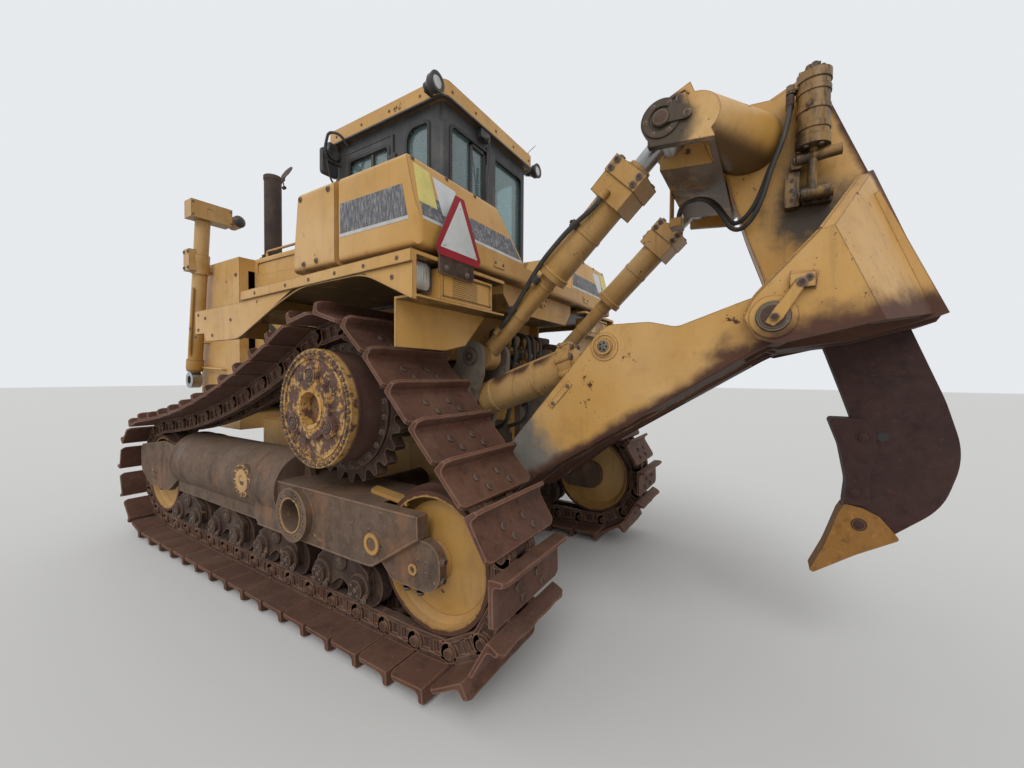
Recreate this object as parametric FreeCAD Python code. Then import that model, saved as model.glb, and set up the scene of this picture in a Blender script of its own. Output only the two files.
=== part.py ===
import FreeCAD, Part
import math
import os

V = FreeCAD.Vector

# Crawler tractor with rear ripper, sizes in mm.
# X points to the machine's left, Y to its rear and Z up, with the ground at Z = 0.
# All sizes below are taken from the sprocket axis at Y = 0; the shift puts the origin
# under the middle of the whole part.
shift_y = 200.0

# Slow vehicle plate
plate_x = 1110.0
plate_half = 182.0
plate_low_z = 2150.0
plate_top_z = 2480.0

# Track and its wheels
track_gauge = 2250.0
shoe_width = 610.0
shoe_count = 43
grouser_height = 66.5
grouser_thickness = 26.0
grouser_foot = 50.0
plate_thickness = 20.0
plate_offset = 60.0
rail_depth = 65.0
rail_gap = 124.0
idler_half = 112.0
idler_hub_radius = 95.0
idler_rim = 40.0
idler_dish = 38.0
idler_flange = 28.0
idler_flange_half = 50.0
bogie_height = 175.0
rail_width = 50.0
idler_pin_radius = 447.0
sprocket_pin_radius = 482.5
rear_idler_y = 774.0
front_idler_y = -2700.0
sprocket_z = 1358.0
idler_z = idler_pin_radius + plate_offset + plate_thickness + grouser_height
track_x = track_gauge / 2
plate_gap = 5.0
track_sag = 140.0

# Rollers
roller_count = 8
roller_radius = 128.0
roller_cap_radius = 56.0
first_roller_y = -2200.0
last_roller_y = 270.0
roller_clearance = 0.3
idler_clearance = 1.5
roller_z = idler_z - idler_pin_radius + rail_depth + roller_radius + roller_clearance

# Sprocket and final drive
tooth_count = 25
tooth_height = 55.0
sprocket_half = 40.0
drum_radius = 335.0
hub_radius = 345.0
hub_face_x = 1397.0
hub_flange = 60.0
hub_bowl_radius = 95.0

# Track frame
tube_radius = 240.0
tube_z = 775.0
tube_front_y = -2200.0
tube_rear_y = -760.0
frame_face_x = 1332.0
frame_inner_x = 905.0
trunnion_y = -275.0
trunnion_z = 680.0
trunnion_radius = 165.0
trunnion_bore_radius = 100.0
trunnion_bolt_circle = 137.0
trunnion_bolt_radius = 9.0
trunnion_bolts = 14
trunnion_face_x = 1382.0

# Main body
case_half = 420.0
case_front_y = -900.0
case_rear_y = 350.0
case_bottom = 620.0
case_top = 1620.0
nose_half = 655.0
nose_front_y = -3400.0
nose_rear_y = -2500.0
nose_bottom = 960.0
hood_half = 500.0
hood_top = 2800.0
nose_top = hood_top - 20
hood_rear_y = -960.0
hood_wall = 40.0

# Fenders, side boxes and tank
fender_edge_x = 1430.0
fender_inner_x = 600.0
fender_top = 2137.0
fender_front_top = 2097.0
fender_sheet = 20.0
fender_lip = 57.0
lip_stand = 12.0
fender_rear_y = 830.0
rear_plate_y = 680.0
rear_box_bottom = 1935.0
rear_box_inner_x = 794.0
rear_box_outer_x = 1238.0
rear_lamp_x = 1316.0
rear_lamp_z = 2040.0
fender_step_y = -740.0
fender_front_y = -1460.0
box_face_x = 1380.0
box_bottom = 2165.0
box_edge = 38.0
box_top = 2635.0
tank_front_y = 215.0
tank_rear_top = 728.0
tank_rear_bottom = 813.0
tank_crease_z = 2300.0
notch_top_half = 610.0
notch_low_half = 382.0
notch_z = 2280.0
sump_half = 537.0
sump_rear_y = 740.0
sump_front_y = 450.0
sump_bottom = 1985.0
side_box_front = -200.0
side_box_rear = 175.0

# Cab
cab_half = 580.0
cab_front_y = -960.0
cab_rear_y = 250.0
cab_floor = 2060.0
cab_top = 3490.0
cab_wall = 60.0
roof_half = 630.0
roof_front_y = -1010.0
roof_rear_y = 305.0
roof_edge = 115.0
roof_crown = 85.0
roof_corner = 70.0
roof_lamp_stand = 72.0
roof_lamp_y = 262.0
roof_lamp_z = 3520.0
sill_z = 2680.0
window_top = 3400.0
glass = 8.0
cab_corner = 45.0
rear_sill_z = 2420.0
rear_window_inner = 32.0
rear_window_outer = 505.0
door_front_y = -840.0
door_rear_y = -235.0
door_gap = 6.0
seat_gap = 0.3
hinge_radius = 12.0

# Ripper pins, as (y, z)
link_hinge = (620.0, 740.0)
link_pin = (2235.0, 1805.0)
pitch_base = (585.0, 1676.0)
pitch_pin = (1755.0, 2820.0)
lift_base = (502.0, 1360.0)
lift_pin = (1500.0, 1708.0)
cylinder_x = 517.5
link_plates = ((300.0, 340.0), (690.0, 735.0))
mount_plates = ((350.0, 392.0), (643.0, 680.0))
wing_plates = ((245.0, 290.0), (745.0, 790.0))
horn_plates = ((360.0, 400.0), (635.0, 675.0))
pin_radius = 60.0
small_pin_radius = 48.0
pin_clearance = 0.4
eye_pin_radius = 42.0
open_gap = 8.0
shank_half = 45.0
puller_stand = 82.0
puller_radius = 68.0
puller_y = 2390.0
puller_hose_x = (222.0, 264.0)
puller_hose_y = 2292.0
column_half = 160.0

# Ripper valve and hoses
valve_sections = 4
valve_half = 220.0
valve_z = 1645.0
hose_radius = 12.5
pitch_hose_radius = 14.0
clamp_front_y = 1680.0

# Blade lift cylinders on the nose
blade_cyl_x = nose_half + 107
blade_cyl_y = nose_front_y + 265
blade_cyl_z = nose_top - 70
blade_barrel_radius = 70.0
blade_rod_radius = 45.0
trunnion_pin_radius = 40.0


def box(x0, x1, y0, y1, z0, z1):
    return Part.makeBox(x1 - x0, y1 - y0, z1 - z0, V(x0, y0, z0))


def rounded_corner(before, corner, after):
    """Start, middle and end of the arc at a corner whose third value is its radius."""
    u, v, radius = corner
    back = (before[0] - u, before[1] - v)
    ahead = (after[0] - u, after[1] - v)
    back_length = math.hypot(*back)
    ahead_length = math.hypot(*ahead)
    back = (back[0] / back_length, back[1] / back_length)
    ahead = (ahead[0] / ahead_length, ahead[1] / ahead_length)
    half = math.acos(back[0] * ahead[0] + back[1] * ahead[1]) / 2
    cut = radius / math.tan(half)
    reach = (radius / math.sin(half) - radius) / (2 * math.cos(half))
    start = (u + back[0] * cut, v + back[1] * cut)
    middle = (u + (back[0] + ahead[0]) * reach, v + (back[1] + ahead[1]) * reach)
    end = (u + ahead[0] * cut, v + ahead[1] * cut)
    return [start, middle, end]


def outline_face(points, place):
    """Face inside lines from point to point, with an arc where a point has a radius."""
    stops = []
    for i, point in enumerate(points):
        if len(point) == 3:
            stops.append(rounded_corner(points[i - 1], point, points[(i + 1) % len(points)]))
        else:
            stops.append([point])
    edges = []
    for stop, after in zip(stops, stops[1:] + stops[:1]):
        if len(stop) == 3:
            edges.append(Part.Arc(*[place(*point) for point in stop]).toShape())
        if math.dist(stop[-1], after[0]) > 0.001:
            edges.append(Part.makeLine(place(*stop[-1]), place(*after[0])))
    return Part.Face(Part.Wire(edges))


def prism(points, x0, x1):
    """Extrude a side outline of (y, z) or (y, z, corner radius) from x0 to x1."""
    return outline_face(points, lambda y, z: V(x0, y, z)).extrude(V(x1 - x0, 0, 0))


def prism_y(points, y0, y1):
    """Extrude a rear outline of (x, z) or (x, z, corner radius) from y0 to y1."""
    return outline_face(points, lambda x, z: V(x, y0, z)).extrude(V(0, y1 - y0, 0))


def prism_z(points, z0, z1):
    """Extrude a plan outline of (x, y) or (x, y, corner radius) from z0 to z1."""
    return outline_face(points, lambda x, y: V(x, y, z0)).extrude(V(0, 0, z1 - z0))


def rounded_box(a0, a1, b0, b1, radius):
    """Corners of an upright rectangle, each with the same radius."""
    return [(a0, b0, radius), (a1, b0, radius), (a1, b1, radius), (a0, b1, radius)]


def turned_y(profile, x, y, z):
    """Turn a profile of (y, radius) points about the line through x and z."""
    wire = Part.makePolygon([V(x, y + step, z + radius) for step, radius in profile + profile[:1]])
    return Part.Face(wire).revolve(V(x, y, z), V(0, 1, 0), 360)


def turned_x(profile, y, z):
    """Turn a profile of (x, radius) points about the line through y and z."""
    wire = Part.makePolygon([V(x, y, z + radius) for x, radius in profile + profile[:1]])
    return Part.Face(wire).revolve(V(0, y, z), V(1, 0, 0), 360)


def round_x(y, z, radius, x0, x1):
    return Part.makeCylinder(radius, x1 - x0, V(x0, y, z), V(1, 0, 0))


def bar(a, b, radius):
    a = V(*a)
    b = V(*b)
    return Part.makeCylinder(radius, (b - a).Length, a, b - a)


def join(shapes):
    solid = shapes[0]
    if len(shapes) > 1:
        solid = solid.fuse(shapes[1:])
    return solid.removeSplitter()


def mirror(shape):
    return shape.mirror(V(0, 0, 0), V(1, 0, 0))


def both(shape):
    return [shape, mirror(shape)]


def along(p, q, distance):
    """Point at a distance from p towards q, in the side plane."""
    length = math.hypot(q[0] - p[0], q[1] - p[1])
    return (p[0] + (q[0] - p[0]) * distance / length, p[1] + (q[1] - p[1]) * distance / length)


def at_x(x, point):
    return (x, point[0], point[1])


def hose(name, points, radius):
    """Round hose of straight runs joined by tangent arcs, as large as the runs allow."""
    points = [V(*point) for point in points]
    edges = []
    last = points[0]
    radii = []
    for before, corner, after in zip(points, points[1:], points[2:]):
        back = (before - corner).normalize()
        ahead = (after - corner).normalize()
        half = back.getAngle(ahead) / 2
        run = min((before - corner).Length, (after - corner).Length)
        cut = 0.45 * run
        bend = cut * math.tan(half)
        reach = bend / math.sin(half) - bend
        start = corner + back * cut
        end = corner + ahead * cut
        middle = corner + (back + ahead).normalize() * reach
        edges.append(Part.makeLine(last, start))
        edges.append(Part.Arc(start, middle, end).toShape())
        last = end
        radii.append(round(bend))
    edges.append(Part.makeLine(last, points[-1]))
    route = Part.Wire(edges)
    ring = Part.Wire([Part.makeCircle(radius, points[0], points[1] - points[0])])
    tube = route.makePipeShell([ring], True, False)
    share = tube.Volume / (math.pi * radius ** 2 * route.Length)
    print(name, "length", round(route.Length), "radii", radii, "volume share", round(share, 4))
    return tube


pieces = {}


def piece(name, shapes):
    """Keep a named piece: one solid, or like solids that do not touch."""
    if not isinstance(shapes, list):
        shapes = [shapes]
    solids = []
    for shape in shapes:
        solids.extend(shape.Solids)
    pieces[name] = solids


# Track loop: circles of the pin line, rear idler, sprocket, front idler.
# The run ahead of the sprocket hangs in a parabola.
def pin_path():
    circles = [
        (rear_idler_y, idler_z, idler_pin_radius),
        (0.0, sprocket_z, sprocket_pin_radius),
        (front_idler_y, idler_z, idler_pin_radius),
    ]
    parts = []
    angles = []
    for i in range(3):
        y0, z0, r0 = circles[i]
        y1, z1, r1 = circles[(i + 1) % 3]
        span = math.hypot(y1 - y0, z1 - z0)
        heading = math.atan2(z1 - z0, y1 - y0)
        angles.append(heading - math.acos((r0 - r1) / span))
    for i in range(3):
        y0, z0, r0 = circles[i]
        y1, z1, r1 = circles[(i + 1) % 3]
        span = math.hypot(y1 - y0, z1 - z0)
        dip = math.atan(4 * track_sag / span)
        start = angles[i - 1] - (dip if i == 2 else 0)
        turn = (angles[i] + (dip if i == 1 else 0) - start) % (2 * math.pi)
        parts.append(("arc", r0 * turn, (y0, z0, r0, start)))
        a = angles[i] + (dip if i == 1 else 0)
        b = angles[i] - (dip if i == 1 else 0)
        p = (y0 + r0 * math.cos(a), z0 + r0 * math.sin(a))
        q = (y1 + r1 * math.cos(b), z1 + r1 * math.sin(b))
        length = math.hypot(q[0] - p[0], q[1] - p[1])
        if i == 1:
            depth = length * math.tan(dip) / 4
            length += 8 * depth ** 2 / (3 * length)
            parts.append(("sag", length, (p, q, depth)))
        else:
            parts.append(("line", length, (p, q)))
    return parts


def point_on(parts, distance):
    for kind, length, data in parts:
        if distance <= length:
            if kind == "arc":
                y, z, r, start = data
                a = start + distance / r
                return (y + r * math.cos(a), z + r * math.sin(a)), (math.cos(a), math.sin(a))
            if kind == "sag":
                p, q, depth = data
                span = math.hypot(q[0] - p[0], q[1] - p[1])
                u = ((q[0] - p[0]) / span, (q[1] - p[1]) / span)
                t = distance / length
                drop = 4 * depth * t * (1 - t)
                slope = 4 * depth * (1 - 2 * t) / span
                y = p[0] + (q[0] - p[0]) * t - u[1] * drop
                z = p[1] + (q[1] - p[1]) * t + u[0] * drop
                size = math.hypot(1, slope)
                return (y, z), ((u[1] + u[0] * slope) / size, (-u[0] + u[1] * slope) / size)
            p, q = data
            u = ((q[0] - p[0]) / length, (q[1] - p[1]) / length)
            return (p[0] + u[0] * distance, p[1] + u[1] * distance), (u[1], -u[0])
        distance -= length
    return point_on(parts, distance)


path = pin_path()
path_length = sum(part[1] for part in path)
pitch = path_length / shoe_count
pins = [point_on(path, pitch * (i + 0.5)) for i in range(shoe_count)]


def link_normal(i):
    """Outward direction of the link between pin i and the next one."""
    p = pins[i % shoe_count][0]
    q = pins[(i + 1) % shoe_count][0]
    length = math.dist(p, q)
    return ((q[1] - p[1]) / length, (p[0] - q[0]) / length)


def ring(offset):
    """Corners of the loop that runs at an even distance from every link."""
    points = []
    for i in range(shoe_count):
        a = link_normal(i - 1)
        b = link_normal(i)
        share = offset / (1 + a[0] * b[0] + a[1] * b[1])
        y, z = pins[i][0]
        points.append((y + (a[0] + b[0]) * share, z + (a[1] + b[1]) * share))
    return points


def ring_solid(outer, inner, x0, x1):
    return prism(ring(outer), x0, x1).cut(prism(ring(-inner), x0 - 1, x1 + 1))


def shoe(i, x0, x1):
    p = pins[i][0]
    q = pins[(i + 1) % shoe_count][0]
    length = math.dist(p, q)
    u = ((q[0] - p[0]) / length, (q[1] - p[1]) / length)
    n = link_normal(i)
    low = plate_offset
    high = plate_offset + plate_thickness
    tip = high + grouser_height
    edge = length - plate_gap
    outline = [
        (plate_gap, low), (edge, low), (edge, tip), (edge - grouser_thickness, tip),
        (edge - grouser_foot, high), (plate_gap, high),
    ]
    points = [(p[0] + u[0] * s + n[0] * h, p[1] + u[1] * s + n[1] * h) for s, h in outline]
    return prism(points, x0, x1)


def make_track():
    x0 = track_x - shoe_width / 2
    x1 = track_x + shoe_width / 2
    shapes = []
    for side in (-1, 1):
        middle = track_x + side * (rail_gap + rail_width) / 2
        shapes.append(ring_solid(plate_offset, rail_depth, middle - rail_width / 2, middle + rail_width / 2))
    for i in range(shoe_count):
        shapes.append(shoe(i, x0, x1))
    return join(shapes)


track = make_track()
piece("track_left", track)
piece("track_right", mirror(track))


# Sprocket ring with teeth between the rails
def make_sprocket():
    points = []
    tip = sprocket_pin_radius - 8
    root = tip - tooth_height
    for i in range(tooth_count):
        middle = 2 * math.pi * i / tooth_count
        for part, radius in ((-0.36, root), (-0.12, tip), (0.12, tip), (0.36, root)):
            a = middle + part * 2 * math.pi / tooth_count
            points.append((radius * math.cos(a), sprocket_z + radius * math.sin(a)))
    disc = prism(points, track_x - sprocket_half, track_x + sprocket_half)
    flange = round_x(0, sprocket_z, drum_radius + 55, track_x + sprocket_half, track_x + sprocket_half + 25)
    return join([disc, flange])


def make_hub():
    start = track_x + sprocket_half + 25
    drum = round_x(0, sprocket_z, drum_radius, start, hub_face_x - hub_flange)
    face = round_x(0, sprocket_z, hub_radius, hub_face_x - hub_flange, hub_face_x)
    bosses = []
    for degrees in (90, 210, 330):
        a = math.radians(degrees)
        y = 190 * math.cos(a)
        z = sprocket_z + 190 * math.sin(a)
        bosses.append(round_x(y, z, 62, hub_face_x - 5, hub_face_x + 22))
    centre = round_x(0, sprocket_z, 175, hub_face_x - 5, hub_face_x + 22)
    bowl = round_x(0, sprocket_z, hub_bowl_radius, hub_face_x - 45, hub_face_x + 30)
    return join([drum, face, centre] + bosses).cut(bowl)


inner_drive = join([
    round_x(0, sprocket_z, 300, case_half, case_half + 220),
    round_x(0, sprocket_z, 245, case_half + 200, track_x - sprocket_half),
])
piece("sprockets", both(make_sprocket()))
piece("final_drive_hubs", both(make_hub()))


# Idler wheels
def make_idler(y):
    half_step = math.asin(pitch / 2 / idler_pin_radius)
    tread = idler_pin_radius * math.cos(half_step) - rail_depth - idler_clearance
    half = [
        (idler_half, 0), (idler_half, idler_hub_radius), (idler_half - 30, idler_hub_radius + 12),
        (idler_dish, tread - idler_rim - 25), (idler_half - 35, tread - idler_rim),
        (idler_half, tread - idler_rim + 8),
        (idler_half, tread), (idler_flange_half, tread), (idler_flange_half, tread + idler_flange),
    ]
    profile = [(track_x + x, radius) for x, radius in half]
    profile += [(track_x - x, radius) for x, radius in reversed(half)]
    return turned_x(profile, y, idler_z)


idlers = []
for y in (rear_idler_y, front_idler_y):
    idlers.extend(both(make_idler(y)))
piece("idlers", idlers)

# Track rollers, in pairs on rocking bogies
roller_step = (last_roller_y - first_roller_y) / (roller_count - 1)
roller_y = [first_roller_y + roller_step * i for i in range(roller_count)]


def make_roller(y):
    body = round_x(y, roller_z, roller_radius, track_x - 112, track_x + 112)
    body = body.cut(round_x(y, roller_z, roller_radius + 5, track_x - 40, track_x + 40))
    middle = round_x(y, roller_z, roller_radius - 40, track_x - 112, track_x + 112)
    shaft = round_x(y, roller_z, 48, track_x - 150, track_x + 165)
    cap = round_x(y, roller_z, roller_cap_radius, track_x + 160, track_x + 200)
    return join([body, middle, shaft, cap])


rollers = []
for y in roller_y:
    rollers.extend(both(make_roller(y)))
piece("track_rollers", rollers)


def make_bogie(first, second):
    z = roller_z
    pivot_y = (first + second) / 2
    outline = [
        (first - 72, z - 55, 40), (first + 72, z - 55, 25), (pivot_y, z + 20, 60), (second - 72, z - 55, 25),
        (second + 72, z - 55, 40), (second + 60, z + 90, 35), (pivot_y + 90, z + bogie_height),
        (pivot_y - 90, z + bogie_height), (first - 60, z + 90, 35),
    ]
    outer = prism(outline, track_x + 118, track_x + 158)
    inner = prism(outline, track_x - 158, track_x - 118)
    bores = [round_x(y, z, 48 + seat_gap, track_x - 200, track_x + 210) for y in (first, second)]
    pin = round_x(pivot_y, z + 112, 45, track_x - 158, track_x + 158)
    return join([outer, inner, pin]).cut(bores[0]).cut(bores[1])


bogies = []
for i in range(0, roller_count, 2):
    bogies.extend(both(make_bogie(roller_y[i], roller_y[i + 1])))
piece("roller_bogies", bogies)


# Track frame: recoil tube, rear box, forks to both idlers, covers
def make_track_frame():
    tube = bar((track_x, tube_front_y, tube_z), (track_x, tube_rear_y + 260, tube_z), tube_radius)
    low = roller_z + bogie_height + seat_gap
    beam = box(frame_inner_x + 40, frame_face_x - 40, tube_front_y, -500, low, tube_z)
    outline = [
        (-800, 560), (-780, 790), (-560, 850), (760, 850), (765, 735), (425, low + 2), (240, low),
        (-760, low),
    ]
    rear = prism(outline, frame_inner_x, frame_face_x)
    idler_room = round_x(rear_idler_y, idler_z, idler_pin_radius - rail_depth + 52, track_x - 130,
        track_x + 130)
    shapes = [tube, beam, rear]
    frame = join(shapes).cut(idler_room)
    forks = []
    for x0 in (track_x + 130, track_x - 180):
        forks.append(prism([(330, 660), (420, 760), (880, 715, 90), (895, 470, 110), (560, 470, 60)],
            x0, x0 + 50))
        forks.append(prism([
            (-2150, 640), (-2150, 900), (-2480, 930, 120), (-3060, 850, 70), (-3060, 600, 90),
            (-2830, 480, 60),
            (-2400, 480, 60)], x0, x0 + 50))
    hub_edge = idler_half + seat_gap
    for y in (rear_idler_y, front_idler_y):
        forks.append(round_x(y, idler_z, 60, track_x + hub_edge, track_x + 180))
        forks.append(round_x(y, idler_z, 60, track_x - 180, track_x - hub_edge))
    front_cap = bar((track_x, tube_front_y - 60, tube_z), (track_x, tube_front_y + 10, tube_z), 215)
    forks.append(front_cap)
    flange = round_x(trunnion_y, trunnion_z, trunnion_radius, frame_face_x - 20, trunnion_face_x)
    cover = round_x(-915, 800, 115, 1290, 1362)
    cap = round_x(440, 650, 62, frame_face_x - 10, frame_face_x + 16)
    eye = prism([(-590, 840), (-510, 1030, 40), (-430, 840)], track_x - 20, track_x + 20)
    eye = eye.cut(round_x(-510, 945, 26, track_x - 30, track_x + 30))
    frame = join([frame] + forks + [flange, cover, cap, eye])
    bore = round_x(trunnion_y, trunnion_z, trunnion_bore_radius, frame_face_x - 120, trunnion_face_x + 1)
    frame = frame.cut(bore)
    holes = []
    for i in range(trunnion_bolts):
        a = 2 * math.pi * (i + 0.5) / trunnion_bolts
        y = trunnion_y + trunnion_bolt_circle * math.cos(a)
        z = trunnion_z + trunnion_bolt_circle * math.sin(a)
        holes.append(round_x(y, z, trunnion_bolt_radius, trunnion_face_x - 30, trunnion_face_x + 1))
    return frame.cut(holes)


frame_left = make_track_frame()
piece("track_frames", both(frame_left))

# Pivot shaft and equalizer bar that carry the track frames
piece("pivot_shaft", round_x(-120, 720, 95, -frame_inner_x, frame_inner_x))
piece("equalizer_bar", join([
    box(-track_x + tube_radius + seat_gap, track_x - tube_radius - seat_gap, -2180, -2020, 640, 800),
]))

# Main frame: rear case, rails and front cross member
rear_case = prism([
    (case_rear_y, case_bottom), (case_rear_y, case_top), (case_front_y + 200, case_top),
    (case_front_y, 1300), (case_front_y, case_bottom)], -case_half, case_half)
rails = []
for side in (1, -1):
    x0, x1 = sorted((side * 300, side * case_half))
    rails.append(box(x0, x1, nose_rear_y + 5, case_front_y + 10, 700, 1060))
cross = box(-case_half, case_half, nose_rear_y + seat_gap, nose_rear_y + 140, 700, 1060)
shaft_room = round_x(-120, 720, 96, -case_half - 10, case_half + 10)
bar_room = box(-case_half - 10, case_half + 10, -2182, -2018, 638, 802)
main_frame = join([rear_case, cross] + rails + both(inner_drive)).cut(shaft_room).cut(bar_room)
piece("main_frame", main_frame)
piece("belly_guard", join([
    prism([
        (nose_rear_y + 10, 600), (case_front_y + 150, 580), (case_front_y + 150, case_bottom - seat_gap),
        (case_front_y, case_bottom - seat_gap), (nose_rear_y + 10, 640)], -case_half, case_half),
    box(-case_half, case_half, nose_rear_y + 10, nose_rear_y + 120, 620, 700 - seat_gap),
]))
piece("engine_block", box(-340, 340, -2250, -1080, 1060 + seat_gap, 2250))

# Radiator guard with side plates and lift cylinder mounts
nose = prism([
    (nose_front_y, nose_bottom), (nose_front_y, nose_top - 60), (nose_front_y + 60, nose_top),
    (nose_rear_y, nose_top), (nose_rear_y, nose_bottom)], -nose_half, nose_half)
nose_hole = box(-nose_half + 90, nose_half - 90, nose_front_y - 5, nose_rear_y + 5, nose_bottom + 160,
    nose_top - 130)
nose = nose.cut(nose_hole)
piece("radiator_guard", nose)
piece("radiator_grille", box(
    -nose_half + 90, nose_half - 90, nose_front_y + 40, nose_front_y + 80, nose_bottom + 160, nose_top - 130))

# Hood: roof and side panels over the engine, open behind the panels
hood = box(-hood_half, hood_half, nose_rear_y, hood_rear_y, 2330, hood_top)
hood = hood.cut(box(
    -hood_half + hood_wall, hood_half - hood_wall, nose_rear_y - 1, hood_rear_y + 1, 2300,
    hood_top - hood_wall))
hood_recess = prism([
    (nose_rear_y + 60, 2610, 25), (nose_rear_y + 60, 2735, 25), (hood_rear_y - 120, 2735, 25),
    (hood_rear_y - 120, 2580, 25)], hood_half - 12, hood_half + 1)
hood_edges = prism_y([
    (-hood_half, 2300), (-hood_half, hood_top, 45), (hood_half, hood_top, 45), (hood_half, 2300)],
    nose_rear_y - 1, hood_rear_y + 1)
hood = hood.common(hood_edges).cut(hood_recess).cut(mirror(hood_recess))
piece("hood", hood)
panels = []
for side in (1, -1):
    x0, x1 = sorted((side * (hood_half - 30), side * hood_half))
    panels.append(box(x0, x1, nose_rear_y, hood_rear_y - 40, 1560, 2330))
piece("engine_side_panels", panels)

# Exhaust stack
# The stack stands on the hood; its cap turns on a pin at the stack's right side
stack_x = 330.0
stack_y = nose_rear_y + 50
stack_top = hood_top + 925
stack_radius = 86.0
stack_wall = 5.0
cap_hinge_x = stack_x - stack_radius - 22
cap_hinge_z = stack_top + 14
cap_pin_radius = 8.0
cap_open = 118.0
cap_lever_angle = 140.0
stack = bar((stack_x, stack_y, hood_top), (stack_x, stack_y, stack_top), stack_radius)
band = bar((stack_x, stack_y, stack_top - 45), (stack_x, stack_y, stack_top - 5), stack_radius + 6)
collar = bar((stack_x, stack_y, hood_top), (stack_x, stack_y, hood_top + 50), stack_radius + 22)
ear_outline = [
    (stack_x - stack_radius + 4, stack_top - 42), (stack_x - stack_radius + 4, stack_top - 8),
    (cap_hinge_x + 14, stack_top - 2), (cap_hinge_x + 14, cap_hinge_z + 12),
    (cap_hinge_x - 12, cap_hinge_z + 12),
    (cap_hinge_x - 12, cap_hinge_z - 14),
]
cap_bore = bar((cap_hinge_x, stack_y - 40, cap_hinge_z), (cap_hinge_x, stack_y + 40, cap_hinge_z),
    cap_pin_radius + pin_clearance)
ears = [prism_y(ear_outline, stack_y + a, stack_y + b).cut(cap_bore) for a, b in ((-30, -22), (22, 30))]
stack = join([stack, band, collar] + ears)
pipe = bar((stack_x, stack_y, hood_top + 400), (stack_x, stack_y, stack_top + 1), stack_radius - stack_wall)
piece("exhaust_stack", stack.cut(pipe))


# Fenders: deck with its lip, skirt, inner wall and rear plate
def make_fender():
    x0 = fender_inner_x
    x1 = fender_edge_x
    deck = prism([
        (fender_front_y, 2020), (fender_step_y, 2030), (fender_step_y, fender_front_top),
        (fender_rear_y, fender_top), (fender_rear_y, fender_top - fender_sheet),
        (fender_step_y + 20, fender_front_top - fender_sheet), (fender_step_y + 20, 2005),
        (fender_front_y, 1990)], x0, x1)
    cylinder_room = box(x0 - 1, x0 + 62, 395, fender_rear_y + 1, 2000, fender_top + 1)
    deck = deck.cut(cylinder_room)
    lip = prism([
        (fender_step_y, fender_front_top - fender_lip), (fender_step_y, fender_front_top),
        (fender_rear_y, fender_top), (fender_rear_y, fender_top - fender_lip)], x1 - 25, x1 + lip_stand)
    skirt = prism([
        (fender_front_y, 2020), (fender_step_y, 2030), (fender_step_y, fender_front_top),
        (fender_rear_y, fender_top), (fender_rear_y, 1908), (490, 2062), (-155, 2054, 200),
        (-800, 1790, 60), (-1290, 1790, 25), (fender_front_y + 145, 1850), (fender_front_y, 1850)],
        x1 - 25, x1)
    front = box(x0 + 300, x1, fender_front_y, fender_front_y + 20, 1850, 2010)
    inner = prism([
        (fender_step_y - 100, 2000), (fender_step_y, 2060), (380, 2060), (380, 1690), (-500, 1690)], x0,
        x0 + 25)
    back = prism_y([
        (x0 + 62, rear_box_bottom), (rear_box_inner_x + 75, 1731), (1050, 1692), (x1 - 25, 1692),
        (x1 - 25, rear_box_bottom)], rear_plate_y, rear_plate_y + 12)
    shelf = box(x0 + 62, x1 - 25, rear_plate_y, fender_rear_y, rear_box_bottom - 12, rear_box_bottom)
    return join([deck, lip, skirt, front, inner, back, shelf])


# Rear box between the deck and the shelf, with the lamp's recess left open beside it
def make_rear_box():
    z0 = rear_box_bottom + seat_gap
    z1 = fender_top - 45
    case = box(rear_box_inner_x, rear_box_outer_x, rear_plate_y, fender_rear_y, z0, z1)
    rim = prism_y(rounded_box(rear_box_inner_x + 14, rear_box_outer_x - 14, z0 + 14, z1 - 14, 12),
                  fender_rear_y - 10, fender_rear_y + 1)
    panel = prism_y(rounded_box(rear_box_inner_x + 24, rear_box_outer_x - 24, z0 + 24, z1 - 24, 8),
                    fender_rear_y - 11, fender_rear_y - 5)
    return join([case.cut(rim), panel])


piece("fenders", both(make_fender()))
piece("rear_panels", both(make_rear_box()))


# Side boxes ahead of the tank and the rear fuel tank
def deck_at(y):
    """Height of the sloping deck at a place along it."""
    share = (y - fender_step_y) / (fender_rear_y - fender_step_y)
    return fender_front_top + (fender_top - fender_front_top) * share


def make_side_box():
    inner_x = cab_half + 30
    case = prism([
        (side_box_front - 30, box_bottom), (side_box_front + 30, box_top), (side_box_rear, box_top),
        (side_box_rear, box_bottom)], inner_x, box_face_x)
    rounded = prism_y([
        (inner_x, box_bottom), (inner_x, box_top), (box_face_x, box_top, box_edge),
        (box_face_x, box_bottom, box_edge)], side_box_front - 40, side_box_rear + 1)
    foot = prism([(-180, deck_at(-180)), (120, deck_at(120)), (120, box_bottom + 1),
        (-180, box_bottom + 1)], 760, 1300)
    return join([case.common(rounded), foot])


piece("side_boxes", both(make_side_box()))


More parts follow.
